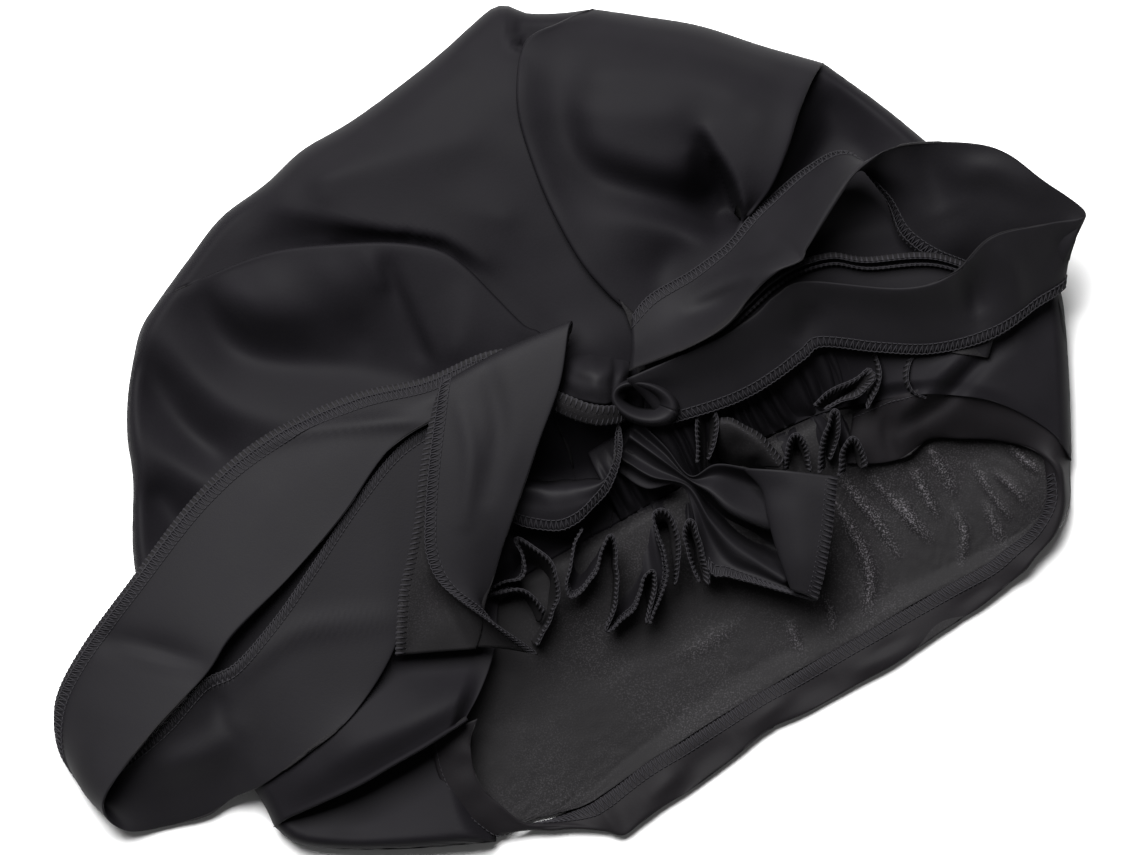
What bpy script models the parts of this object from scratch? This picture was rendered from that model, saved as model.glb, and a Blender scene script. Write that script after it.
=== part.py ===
"""Satin sleep bonnet, lying nape side up, with its ties knotted in a bow.

The bag of the crown is sampled from a relief that is stretched between fold lines, and the band,
the frill and the ties are strips between two rails. Tables are in millimetres; objects are in metres.
"""
import bpy
import bmesh
import numpy as np
from mathutils import Matrix, Vector
from mathutils.bvhtree import BVHTree

MM = 0.001
OBJECT_NAME = "sleep_bonnet"

# Driving dimensions, in millimetres
WALL = 1.2                 # satin of the crown
BAND_WALL = 2.0            # doubled satin of the band
TIE_WALL = 1.8             # strip folded lengthwise, two layers
FRILL_WALL = 1.0           # single layer with its overlocked edge
ROUNDING = 6.0             # reach of the rounded outline of the bag
SEAM_GAP = 1.1             # between the edges of crown and band
END_GAP = 2.1              # the same at the end of the left flap
CORNER_GAP = 3.1           # the same beside the right corner
TURN_GAP = 3.5             # the same where the band turns round a corner of the bag
REST_GAP = 0.45            # between a piece and what it lies on
FRILL_STAND = 0.9          # from the edge of the crown to the foot of the frill
RASTER = 2.0               # cell of the relief and of the ground map
SKY = 300.0                # higher than everything
MIDDLE = (-1.14, 0.73, 0.0)    # of the whole outline as drawn, which becomes the origin
UPPER_ROWS = 18            # of corners from the nape to the outline
LOFT = 1.2                 # how much the bag is filled out above its drawn heights
FIELD = (-168.0, -160.0, 190.0, 162.0)
RELIEF_START = 15.0
RELIEF_LEVELS = (16, 8, 4, 2, 1)
RELIEF_ROUNDS = 160
SHOULDER = 5.0             # rise from the outline to where the upper layer starts to round over

# Sections of the bag, from the lower left round the far side to the right. Columns: ribs to the
# next row; start of the rib on the upper layer (x, y, z); outline (x, y, z); end on the lower layer
# (x, y); front edge of the band there (x, y, z)
SECTIONS = (
    (1, (-27, -147, 5), (-27, -150, 3), (-24, -146.5), (-15, -146, 2.5)),
    (1, (-36, -142, 8), (-58, -152, 5), (-14, -140.5), (-4, -146, 2.5)),
    (1, (-45, -131, 10), (-84, -152, 6), (-1, -137.5), (10, -146.5, 2.5)),
    (1, (-49, -121, 9), (-99, -150, 7), (9, -133), (21, -144, 3)),
    (1, (-49, -117.5, 9), (-105, -146, 6), (14, -130), (25, -142, 3)),
    (1, (-37, -105, 20), (-109, -140, 6), (22, -124.5), (31, -139, 3)),
    (1, (-30, -93, 18), (-118, -125, 7), (30, -119), (38, -133, 3)),
    (2, (-27, -80, 15), (-134, -103, 7), (38, -114), (46, -128, 3)),
    (3, (-26, -62, 13), (-153, -66, 7), (48, -108), (55.5, -121, 3)),
    (4, (-12, -51, 13), (-158, -30, 7), (58, -102), (65, -114, 3)),
    (3, (-2, -45, 13), (-160, 10, 7), (66, -97), (73, -109.5, 3)),
    (3, (6, -40, 13), (-153, 41, 7), (73, -93), (80, -105.5, 3)),
    (3, (11, -37.5, 13), (-129, 74, 7), (77, -91), (84, -103.5, 3)),
    (3, (16, -35, 13), (-99, 99, 7), (82, -88), (89, -100.5, 3)),
    (3, (22, -31, 13), (-58, 126, 7), (86, -86), (93, -98.5, 3)),
    (3, (29, -27, 13), (-26, 151.5, 6), (92, -82.5), (99.5, -95, 3)),
    (4, (37, -23, 13), (8, 151, 7), (98, -79), (105.5, -91.5, 3)),
    (4, (48, -16, 13), (46, 145, 7), (106, -74), (113, -86.5, 3)),
    (3, (60, -10, 13), (90, 132, 7), (115, -69), (122, -81.5, 3)),
    (3, (74, -2, 13), (127, 104, 7), (125, -63), (132, -75, 3)),
    (3, (90, 5, 14), (160, 74, 7), (137, -56), (143.5, -67, 4)),
    (2, (105, 8, 15), (177, 48, 7), (148, -50), (154, -60.5, 4)),
    (1, (127, 12, 19), (179.5, 20, 7), (158, -44.5), (164, -50.5, 7)),
    (1, (150, 10, 20), (180, 0, 7), (168, -36), (173.5, -39.5, 10)),
    (0, (174, -1, 14), (180.5, -12, 6), (176, -24), (177.5, -27, 13)),
)
# Front edge of the band where it comes back over the upper layer; column 1 is the section
BAND_FLAP = (
    (0, (-14, -144.5, 5)),
    (1, (-22, -139, 9)),
    (2, (-33, -127, 13)),
    (3, (-36, -117, 14)),
    (4, (-35.5, -109, 13)),
)
BAND_RIGHT = (
    (21, (110, -11, 13)),
    (22, (127, -6, 17)),
    (23, (152, -5, 20)),
    (24, (171, -11, 18)),
)

# Swells, ridges and hollows of the upper layer: each row is one, as (x, y, z) along it
FOLDS = {
    "upper_panel": ((-92, 93, 22), (-60, 100, 27), (-35, 104, 28)),
    "upper_crease": ((-90, 85, 22), (-66, 83, 23), (-42, 79, 24), (-22, 75, 25)),
    "lobe_valley_rim": ((-104, 81, 19), (-84, 77, 24), (-64, 71, 26), (-46, 69, 26.5), (-30, 62, 26)),
    "lobe_valley": ((-116, 68, 13), (-98, 71, 14)),
    "lobe_swell": ((-108, 50, 20), (-99, 42, 20)),
    "lobe_middle": ((-84, 56, 24), (-78, 44, 20.5), (-76, 34, 19.5)),
    "lobe_ridge": ((-69, 60, 26), (-66, 52, 25.5), (-60, 43, 25), (-52, 28, 24)),
    "lobe_side": ((-42, 54, 27), (-38, 42, 27.5), (-42, 25, 26)),
    "dimple": ((-130, 50, 12), (-126, 42, 9), (-121, 33, 8), (-111, 27.5, 9.5), (-92, 25.5, 14),
               (-75, 22, 18), (-61, 17, 20), (-52, 13, 21)),
    "left_roll": ((-151, 41, 9), (-141, 37, 17), (-133, 28, 19.5), (-124, 19, 20.5), (-108, 15, 21.5),
                  (-88, 11, 22.5), (-65, 6, 23)),
    "flank_groove": ((-156, 30, 9), (-148, 21, 11), (-141, 8, 10), (-131, 1, 10), (-117, -4, 13)),
    "flank_ridge": ((-158, 10, 12), (-154, 2, 15), (-146, -7, 17), (-135, -14, 18), (-120, -19, 19)),
    "flank_hollow": ((-152, -16, 10), (-146, -28, 9), (-140, -42, 10)),
    "scoop": ((-5, 125, 25), (-4, 112, 22), (0, 103, 21), (8, 94, 20.5), (20, 89, 20), (35, 86, 18.5),
              (48, 79, 15)),
    "dome": ((16, 130, 31), (28, 122, 35), (34, 108, 33)),
    "dome_shoulder": ((8, 143, 19), (40, 137, 22), (70, 127, 23)),
    "hollow": ((43, 104, 27), (46, 95, 18), (50, 85, 12), (57, 74, 11)),
    "hollow_rim": ((49, 106, 31), (53, 94, 28), (57, 83, 25), (61, 72, 22)),
    "right_panel": ((63, 95, 30), (68, 112, 29)),
    "beyond_ridge": ((104, 106, 17), (98, 95, 21), (90, 84, 22)),
    "lower_swell": ((0, 78, 30), (10, 66, 30), (20, 54, 28)),
    "lower_swell_side": ((26, 78, 26), (42, 70, 25), (46, 60, 25)),
    "under_right_loop": ((50, 48, 25), (80, 66, 24), (110, 72, 22), (140, 72, 18)),
    "under_lower_strand": ((60, 30, 24), (100, 42, 22), (140, 50, 19)),
    "right_fold": ((116, 8, 18), (128, 17, 21), (140, 25, 22), (154, 36, 20)),
    "right_side": ((128, 12, 19), (150, 10, 20), (170, 4, 16)),
    "knot_seat": ((-6, 26, 23), (8, 30, 24), (16, 22, 22)),
    "tie_seat": ((-40, 2, 23), (-40, -30, 21), (-36, -60, 18)),
    "loop_seat": ((-62, -12, 23), (-90, -46, 22), (-120, -78, 16)),
    "loop_seat_side": ((-70, -58, 22), (-100, -88, 19)),
    "hollow_under_tie": ((-74, -90, 17), (-60, -86, 11), (-45, -84, 9), (-30, -82, 10)),
    "pouch": ((-36, -96, 22), (-58, -108, 26), (-80, -118, 25), (-96, -129, 19)),
    "flap": ((-46, -136, 11), (-62, -140, 10), (-80, -146, 9)),
    "nape": ((-27, -61, 13), (0, -44, 13), (29, -27, 13), (54, -13, 13), (79, 1, 14), (105, 9, 15)),
}
# Laps, where one side stands over the other. Columns: side that is high (1 left, -1 right of the
# line), then (x, y, high z, low z) along it
LAPS = {
    "middle_lap": (-1, ((23, 38, 25, 22), (13, 48, 28, 23), (3, 60, 30, 24), (-7, 78, 31, 25),
                        (-14, 95, 32, 26), (-19, 112, 31, 25), (-19, 126, 28, 22), (-17, 139, 22, 12))),
    "top_notch": (1, ((-18, 132, 22, 18), (-20, 139, 20, 12), (-22, 148, 14, 9))),
    "right_ridge": (1, ((62, 71, 22, 18), (72, 86, 29, 15), (78, 100, 31, 13), (82, 113, 29, 15),
                        (89, 129, 16, 12))),
    "lobe_lap": (-1, ((-128, 56, 13, 10), (-118, 60, 17, 10), (-104, 64, 22, 12), (-84, 66, 25, 14),
                      (-64, 66.5, 27, 17), (-48, 64, 28, 19), (-38, 58, 28, 20), (-28, 48, 27, 20),
                      (-17, 37, 26, 20), (-10, 33, 24, 21))),
    "pouch_lap": (-1, ((-51, -115, 21, 9), (-76, -129, 19, 8), (-92, -136.5, 15, 7), (-102, -141, 11, 7))),
}

# Rails of the ties. Columns: clean folded edge (x, y, z), overlocked edge (x, y, z)
LOOP_LEFT = (
    ((-6, 17, 35), (-7, 27, 34)),
    ((-28, 13, 34), (-30, 27, 31)),
    ((-48, 6, 33), (-52, 19, 29)),
    ((-66, -3, 33), (-78, 10, 27)),
    ((-84, -26, 32), (-108, -3, 25)),
    ((-102, -54, 31), (-132, -26, 23)),
    ((-122, -74, 30), (-158, -59, 19)),
    ((-133, -90, 29), (-176, -80, 12)),
    ((-150, -108, 27), (-185, -97, 7)),
    ((-166, -130, 23), (-185, -114, 5)),
    ((-167, -139, 17), (-180, -124, 1.8)),
    ((-161, -145, 10), (-172, -128, 1.3)),
    ((-148, -144, 6), (-158, -118, 1.6)),
    ((-131, -139, 8), (-146, -105, 7)),
    ((-122, -134, 13), (-131, -91, 17)),
    ((-112, -128, 19), (-119, -86, 22)),
    ((-96, -117, 24), (-105, -71, 25)),
    ((-80, -102, 26), (-92, -50, 27)),
    ((-66, -80, 27), (-76, -25, 28)),
    ((-56, -58, 27), (-60, -6, 28)),
    ((-38, -26, 27), (-42, 2, 28)),
    ((-12, 0, 28), (-14, 14, 29)),
)
LOOP_RIGHT = (
    ((22, 27, 40), (24, 38, 28)),
    ((38, 33, 48), (30, 48, 29)),
    ((58, 44, 56), (47, 57, 30)),
    ((80, 58, 62), (64, 74, 29)),
    ((95, 80, 65), (83, 91, 27)),
    ((107, 96, 66), (101, 92, 25)),
    ((124, 102, 64), (113, 83, 24)),
    ((150, 101, 60), (124, 74, 24)),
    ((170, 92, 54), (146, 67, 24)),
    ((184, 77, 44), (174, 57, 22)),
    ((172, 73, 50), (165, 46, 22)),
    ((152, 68, 54), (150, 35, 23)),
    ((136, 54, 56), (130, 29, 24)),
    ((112, 50, 56), (112, 29, 25)),
    ((86, 51, 54), (92, 31, 25)),
    ((64, 40, 50), (76, 20, 24)),
    ((44, 28, 44), (56, 9, 23)),
    ((26, 20, 38), (38, 4, 23)),
)
TIE_LEFT = (
    ((-4, 34, 38), (-34, 25, 36)),
    ((-8, 16, 41), (-47, 12, 37)),
    ((-12, -4, 41), (-51, -12, 36)),
    ((-17, -22, 39), (-53, -35, 34)),
    ((-23, -40, 36), (-54, -52, 32)),
    ((-29, -56, 31), (-56, -66, 29)),
    ((-18, -70, 23), (-60, -76, 25)),
    ((-11, -82, 18), (-62, -82, 23)),
)
TIE_RIGHT = (
    ((23, 5, 26), (16, -1, 24)),
    ((33, -1, 24), (24, -6, 22)),
    ((42, -10, 23), (33, -14, 21)),
    ((48, -18, 22), (42, -24, 18)),
    ((54, -15, 27), (46, -34, 18)),
    ((66, -14, 30), (49, -48, 17)),
    ((80, -15, 30), (66, -56, 17)),
    ((95, -17, 28), (88, -61, 16)),
)
STRAP_RIGHT = (
    ((25, 20, 30), (30, 10, 28)),
    ((36, 26, 30), (44, 14, 27)),
    ((52, 36, 31), (62, 24, 28)),
    ((68, 51, 31), (78, 33, 27)),
    ((84, 60, 30), (96, 36, 26)),
    ((108, 61, 28), (116, 34, 25)),
    ((134, 60, 26), (134, 28, 25)),
    ((154, 40, 25), (150, 25, 24)),
)
# Frill along the nape. Columns: foot (x, y), edge (x, y, z)
FRILL = (
    ((-24, -57), (-26, -64, 16)),
    ((-20, -55), (-13, -74, 14)),
    ((-15, -52), (-6, -58, 17)),
    ((-10, -50), (-14, -41, 19)),
    ((-5, -47), (0, -36, 21)),
    ((0, -44), (1, -58, 16)),
    ((5, -41), (9, -52, 17)),
    ((10, -38), (14, -40, 19)),
    ((14, -36), (14, -71, 14)),
    ((19, -33), (25, -60, 16)),
    ((24, -30), (31, -33, 20)),
    ((29, -27), (31, -66, 14)),
    ((34, -25), (38, -42, 17)),
    ((39, -22), (43, -36, 16)),
    ((45, -19), (48, -54, 13)),
    ((62, -9), (62, -14, 16)),
    ((70, -4), (74, -12, 18)),
    ((77, 0), (80, -4, 21)),
    ((84, 3), (87, -13, 17)),
    ((90, 5), (94, 5, 21)),
    ((97, 8), (99, -12, 18)),
    ((103, 9), (108, 16, 23)),
)
KNOT_CENTRE = (9, 16, 36)
KNOT_SIZE = (30, 34, 22)   # of the cage, which rounding makes smaller
KNOT_TURN = -0.5           # radians about the vertical

UPPER_EVEN = 0.25          # share of even spacing in the rows over the upper layer
LOWER_SHARES = (0.03, 0.09, 0.3, 0.65, 1.0)
START_BLEND = 8.0          # way in from the mouth over which the drawn height gives way to the relief
BAND_SHARES = (0, 0.4, 0.75, 1)
FRILL_REACH = (-27.0, 112.0, -70.0)   # left and right end of the nape, and the lowest it goes
FRILL_ROWS = 3
LINE_STEP = 1.0            # between the points of a fold
DOWN = Vector((0, 0, -1))
LIFT = Vector((0, 0, 0.3))
SATIN = (0.010, 0.009, 0.012, 1.0)
BAND_SATIN = (0.012, 0.011, 0.014, 1.0)
THREAD = (0.014, 0.013, 0.016, 1.0)


def curve(rows, step):
    """A smooth line through the rows, with a point about every step."""
    rows = np.array(rows, float)
    ends = np.vstack([2 * rows[0] - rows[1], rows, 2 * rows[-1] - rows[-2]])
    runs = []
    for before, a, b, after in zip(ends, ends[1:], ends[2:], ends[3:]):
        count = max(1, int(np.linalg.norm(b[:2] - a[:2]) / step))
        runs.append(between(before, a, b, after, np.arange(count) / count))
    return np.vstack(runs + [rows[-1:]])


def between(before, a, b, after, shares):
    """Catmull-Rom points from a to b."""
    t = np.asarray(shares, float)[:, None]
    return 0.5 * (2 * a + (b - before) * t + (2 * before - 5 * a + 4 * b - after) * t**2
                  + (3 * a - before - 3 * b + after) * t**3)


def subdivided(rows, counts):
    """A smooth line through the rows, with a set count of steps after each."""
    rows = np.array(rows, float)
    ends = np.vstack([2 * rows[0] - rows[1], rows, 2 * rows[-1] - rows[-2]])
    runs = [between(ends[i], ends[i + 1], ends[i + 2], ends[i + 3], np.arange(n) / n)
            for i, n in enumerate(counts)]
    return np.vstack(runs + [rows[-1:]])


def smooth(share):
    share = np.clip(share, 0, 1)
    return share * share * (3 - 2 * share)


def rounding(way):
    """Drop of a quarter round, from 1 on the outline to 0 at the reach of the rounding."""
    return 1 - np.sqrt(1 - (1 - np.clip(way / ROUNDING, 0, 1)) ** 2)


class Relief:
    """Height of the upper layer, stretched like cloth between its folds, laps and outline."""

    def __init__(self):
        height = None
        for level in RELIEF_LEVELS:
            cell = RASTER * level
            shape = (int((FIELD[3] - FIELD[1]) / cell) + 2, int((FIELD[2] - FIELD[0]) / cell) + 2)
            if height is None:
                height = np.full(shape, RELIEF_START)
            else:
                y, x = np.indices(shape) * cell
                self.height, self.cell = height, last_cell
                height = self.at(x + FIELD[0], y + FIELD[1])
            held, goal = self.held_cells(shape, cell)
            for _ in range(RELIEF_ROUNDS):
                height = np.where(held, goal, height)
                wide = np.pad(height, 1, mode="edge")
                height = (wide[:-2, 1:-1] + wide[2:, 1:-1] + wide[1:-1, :-2] + wide[1:-1, 2:]) / 4
            last_cell = cell
        self.height, self.cell = height, cell

    def held_cells(self, shape, cell):
        count = np.zeros(shape)
        total = np.zeros(shape)

        def hold(points):
            column = np.rint((points[:, 0] - FIELD[0]) / cell).astype(int)
            row = np.rint((points[:, 1] - FIELD[1]) / cell).astype(int)
            np.add.at(count, (row, column), 1)
            np.add.at(total, (row, column), points[:, 2])

        for points in FOLDS.values():
            hold(curve(points, LINE_STEP))
        for side, rows in LAPS.values():
            line = curve(rows, LINE_STEP)
            run = np.gradient(line[:, :2], axis=0)
            run /= np.linalg.norm(run, axis=1)[:, None]
            across = np.column_stack([-run[:, 1], run[:, 0]]) * side * max(1.0, cell / 2)
            hold(np.column_stack([line[:, :2] + across, line[:, 2]]))
            hold(np.column_stack([line[:, :2] - across, line[:, 3]]))
        hold(curve([(x, y, z + SHOULDER) for x, y, z in (row[2] for row in SECTIONS)], LINE_STEP))
        return count > 0, total * LOFT / np.maximum(count, 1)

    def at(self, x, y):
        column = np.clip((x - FIELD[0]) / self.cell, 0, self.height.shape[1] - 1.001)
        row = np.clip((y - FIELD[1]) / self.cell, 0, self.height.shape[0] - 1.001)
        i, j = row.astype(int), column.astype(int)
        v, u = row - i, column - j
        h = self.height
        return ((h[i, j] * (1 - v) + h[i + 1, j] * v) * (1 - u)
                + (h[i, j + 1] * (1 - v) + h[i + 1, j + 1] * v) * u)


def material(name, colour, roughness):
    made = bpy.data.materials.new(name)
    made.use_nodes = True
    shader = made.node_tree.nodes["Principled BSDF"]
    shader.inputs["Base Color"].default_value = colour
    shader.inputs["Roughness"].default_value = roughness
    shader.inputs["Metallic"].default_value = 0.0
    return made


def sheet(name, points, wall, offset, finish):
    """An open sheet through a grid of points in millimetres, with a wall put on by Solidify."""
    rows, columns = points.shape[:2]
    bm = bmesh.new()
    bmesh.ops.create_grid(bm, x_segments=columns - 1, y_segments=rows - 1, size=1)
    bm.verts.ensure_lookup_table()
    flat = (points.reshape(-1, 3) - MIDDLE) * MM
    for vertex, place in zip(bm.verts, flat):
        vertex.co = place
    mesh = bpy.data.meshes.new(name)
    bm.to_mesh(mesh)
    bm.free()
    mesh.shade_smooth()
    mesh.materials.append(finish)
    made = bpy.data.objects.new(name, mesh)
    wall_maker = made.modifiers.new("wall", "SOLIDIFY")
    wall_maker.thickness = wall * MM
    wall_maker.offset = offset
    return made


def crown_points(relief):
    """Ribs of the bag: over the upper layer, round the outline and back under it."""
    counts = [row[0] for row in SECTIONS[:-1]]
    start, outline, end = (subdivided([row[k] if k < 3 else row[k] + (0,) for row in SECTIONS], counts)
                           for k in (1, 2, 3))
    even = np.linspace(0, 1, UPPER_ROWS)
    upper_shares = even * UPPER_EVEN + (1 - np.cos(even * np.pi)) / 2 * (1 - UPPER_EVEN)
    rows = []
    for share in upper_shares:
        place = start + (outline - start) * share
        left = np.linalg.norm((outline - place)[:, :2], axis=1)
        shoulder = (outline[:, 2] + SHOULDER) * LOFT - outline[:, 2]
        surface = relief.at(place[:, 0], place[:, 1]) - shoulder * rounding(left)
        gone = np.linalg.norm((place - start)[:, :2], axis=1)
        blend = smooth(gone / START_BLEND)
        place[:, 2] = start[:, 2] * (1 - blend) + surface * blend
        if share == 1.0:
            place[:, 2] = outline[:, 2]
        rows.append(place)
    for share in LOWER_SHARES:
        place = outline + (end - outline) * share
        gone = np.linalg.norm((place - outline)[:, :2], axis=1)
        place[:, 2] = outline[:, 2] * rounding(gone)
        if share == 1.0:
            place[:, 2] = 0.0
        rows.append(place)
    return np.array(rows), start, outline, end


def evaluated(made):
    """Corners and faces of an object as it is with its modifiers, in metres."""
    scene = bpy.context.scene
    scene.collection.objects.link(made)
    mesh = made.evaluated_get(bpy.context.evaluated_depsgraph_get()).to_mesh()
    mesh.calc_loop_triangles()
    corners = [made.matrix_world @ vertex.co for vertex in mesh.vertices]
    faces = [tuple(triangle.vertices) for triangle in mesh.loop_triangles]
    scene.collection.objects.unlink(made)
    return corners, faces


class Ground:
    """What the next piece lies on: the finished pieces, as trees and as a map of their height."""

    def __init__(self):
        self.x = np.arange(FIELD[0] - 30, FIELD[2] + 10, RASTER)
        self.y = np.arange(FIELD[1], FIELD[3], RASTER)
        self.height = np.zeros((len(self.y), len(self.x)))
        self.trees = []
        self.points = []

    def add(self, made):
        corners, faces = evaluated(made)
        tree = BVHTree.FromPolygons(corners, faces)
        self.trees.append(tree)
        self.points += surface_points(corners, faces)
        low = np.min(corners, axis=0) / MM + MIDDLE
        high = np.max(corners, axis=0) / MM + MIDDLE
        for i in np.flatnonzero((self.y >= low[1]) & (self.y <= high[1])):
            for j in np.flatnonzero((self.x >= low[0]) & (self.x <= high[0])):
                above = Vector((self.x[j] - MIDDLE[0], self.y[i] - MIDDLE[1], SKY))
                place = tree.ray_cast(above * MM, DOWN)[0]
                if place:
                    self.height[i, j] = max(self.height[i, j], place.z / MM)

    def at(self, x, y):
        """Highest ground within a cell of each place."""
        column = np.rint((x - self.x[0]) / RASTER).astype(int)
        row = np.rint((y - self.y[0]) / RASTER).astype(int)
        near = [self.height[np.clip(row + i, 0, len(self.y) - 1), np.clip(column + j, 0, len(self.x) - 1)]
                for i in (-1, 0, 1) for j in (-1, 0, 1)]
        return np.max(near, axis=0)

    def settle(self, made):
        """Lower or raise a piece until it lies just clear of the ground."""
        corners, faces = evaluated(made)
        raised = [corner + LIFT for corner in corners]
        tree = BVHTree.FromPolygons(raised, faces)
        falls = [point.z for point in corners]
        for point in surface_points(raised, faces):
            for below in self.trees:
                hit = below.ray_cast(point, DOWN)
                if hit[0]:
                    falls.append(hit[3] - LIFT.z)
        for point in self.points:
            hit = tree.ray_cast(point, -DOWN)
            if hit[0]:
                falls.append(hit[3] - LIFT.z)
        made.data.transform(Matrix.Translation(DOWN * (min(falls) - REST_GAP * MM)))
        self.add(made)
        return made


def surface_points(corners, faces):
    """Corners, middles of sides and middles of faces."""
    points = list(corners)
    for a, b, c in faces:
        points += [(corners[a] + corners[b]) / 2, (corners[b] + corners[c]) / 2]
        points += [(corners[c] + corners[a]) / 2, (corners[a] + corners[b] + corners[c]) / 3]
    return points


def strip(name, rails, wall, finish, ground=None, across=4, along=2, belly=0.0):
    """A strip between two rails, bowed out by the belly, that keeps clear of the ground."""
    clean = subdivided([row[0] for row in rails], [along] * (len(rails) - 1))
    edge = subdivided([row[1] for row in rails], [along] * (len(rails) - 1))
    run = np.gradient((clean + edge) / 2, axis=0)
    normal = np.cross(run, edge - clean)
    normal /= np.linalg.norm(normal, axis=1)[:, None]
    normal *= np.where(normal[:, 2:] < 0, -1, 1)
    rows = []
    for share in np.linspace(0, 1, across + 1):
        place = clean + (edge - clean) * share + normal * belly * 4 * share * (1 - share)
        if ground:
            least = ground.at(place[:, 0], place[:, 1]) + wall / 2 + REST_GAP
            place[:, 2] = np.maximum(place[:, 2], least)
        rows.append(place)
    return sheet(name, np.array(rows), wall, 0, finish)


def front_band(start, outline, end, finish):
    """The band goes from the left flap under the bag and up over the right corner."""
    counts = [row[0] for row in SECTIONS[:-1]]
    index = np.concatenate([[0], np.cumsum(counts)])
    last = index[-1]
    floor_rims = subdivided([row[4] for row in SECTIONS], counts)
    thin = np.array((0, 0, WALL / 2))
    flap = [(start[index[section]] - thin, rim, SEAM_GAP) for section, rim in reversed(BAND_FLAP)]
    floor = [(point + (0, 0, BAND_WALL / 2), rim, SEAM_GAP) for point, rim in zip(end, floor_rims)]
    right = [(start[index[section]] - thin, rim, SEAM_GAP) for section, rim in reversed(BAND_RIGHT)]
    flap_turn = (outline[0], (np.array(BAND_FLAP[0][1]) + floor_rims[0]) / 2, TURN_GAP)
    right_turn = (outline[last], (np.array(BAND_RIGHT[-1][1]) + floor_rims[last]) / 2, TURN_GAP)
    flap[0] = flap[0][:2] + (END_GAP,)
    right[0] = right[0][:2] + (CORNER_GAP,)
    loop = flap + [flap_turn] + floor + [right_turn] + right
    seams = np.array([row[0] for row in loop], float)
    rims = np.array([row[1] for row in loop], float)
    gaps = np.array([row[2] for row in loop])
    across = rims - seams
    seams += across * (gaps / np.linalg.norm(across, axis=1))[:, None]
    rows = [seams + (rims - seams) * share for share in BAND_SHARES]
    return sheet("front_band", np.array(rows), BAND_WALL, 0, finish)


def nape_frill(start, finish, ground):
    """The frill stands along the elastic, from a foot that is gathered to an edge that waves."""
    feet = np.array([row[0] for row in FRILL], float)
    left, right, low = FRILL_REACH
    nape = start[(start[:, 0] > left) & (start[:, 0] < right) & (start[:, 1] > low)]
    nape = nape[np.argsort(nape[:, 0])]
    y = np.interp(feet[:, 0], nape[:, 0], nape[:, 1])
    z = np.interp(feet[:, 0], nape[:, 0], nape[:, 2]) - WALL / 2
    slope = np.gradient(y, feet[:, 0])
    away = np.column_stack([slope, -np.ones(len(slope))]) / np.sqrt(1 + slope**2)[:, None]
    foot = np.column_stack([feet[:, 0], y, z])
    foot[:, :2] += away * FRILL_STAND
    rails = [(tuple(a), row[1]) for a, row in zip(foot, FRILL)]
    return strip("nape_ruffle", rails, FRILL_WALL, finish, ground, across=FRILL_ROWS)


def knot(finish):
    """Satin wrapped round the middle of the bow."""
    bm = bmesh.new()
    place = (Matrix.Translation((Vector(KNOT_CENTRE) - Vector(MIDDLE)) * MM)
             @ Matrix.Rotation(KNOT_TURN, 4, "Z") @ Matrix.Diagonal((*Vector(KNOT_SIZE) * MM, 1)))
    bmesh.ops.create_cube(bm, size=1, matrix=place)
    mesh = bpy.data.meshes.new("bow_knot")
    bm.to_mesh(mesh)
    bm.free()
    mesh.shade_smooth()
    mesh.materials.append(finish)
    made = bpy.data.objects.new("bow_knot", mesh)
    softener = made.modifiers.new("rounding", "SUBSURF")
    softener.levels = softener.render_levels = 2
    return made


def build():
    relief = Relief()
    satin = material("satin", SATIN, 0.42)
    points, start, outline, end = crown_points(relief)
    crown = sheet("crown", points, WALL, -1, satin)
    band = front_band(start, outline, end, material("band_satin", BAND_SATIN, 0.48))
    ground = Ground()
    ground.add(crown)
    ground.add(band)
    frill = nape_frill(start, material("frill_satin", THREAD, 0.5), ground)
    made = [crown, band, ground.settle(frill), ground.settle(knot(satin))]
    for name, rails, belly in (("tie_strap_right", STRAP_RIGHT, 1), ("tie_end_right", TIE_RIGHT, 3),
                               ("bow_loop_left", LOOP_LEFT, 3), ("tie_end_left", TIE_LEFT, 4),
                               ("bow_loop_right", LOOP_RIGHT, 5)):
        made.append(ground.settle(strip(name, rails, TIE_WALL, satin, ground, belly=belly)))
    return made


def main():
    for old in list(bpy.data.objects):
        bpy.data.objects.remove(old)
    group = bpy.data.collections.new(OBJECT_NAME)
    bpy.context.scene.collection.children.link(group)
    for made in build():
        group.objects.link(made)


main()
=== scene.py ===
"""Looks of a satin sleep bonnet that lies nape side up, with its ties knotted in a bow.

Tables are in millimetres as seen from above, with the table top at 0; meshes are in metres.
"""
import functools
import math

import bmesh
import bpy
import numpy as np
from bpy.props import FloatProperty, FloatVectorProperty, PointerProperty
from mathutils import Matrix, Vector


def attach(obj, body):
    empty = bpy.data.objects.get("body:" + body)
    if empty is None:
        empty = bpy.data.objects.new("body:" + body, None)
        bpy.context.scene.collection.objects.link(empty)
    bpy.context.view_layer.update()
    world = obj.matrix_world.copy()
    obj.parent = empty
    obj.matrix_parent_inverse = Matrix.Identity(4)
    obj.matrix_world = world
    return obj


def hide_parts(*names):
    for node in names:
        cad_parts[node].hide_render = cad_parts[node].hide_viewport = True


bl_info = {
    "name": "Satin Sleep Bonnet",
    "version": (1, 0, 0),
    "blender": (4, 5, 0),
    "location": "3D View > Sidebar > Bonnet",
    "description": "Models a gathered satin bonnet with a banded opening and a large tied bow",
    "category": "Add Mesh",
}

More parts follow.
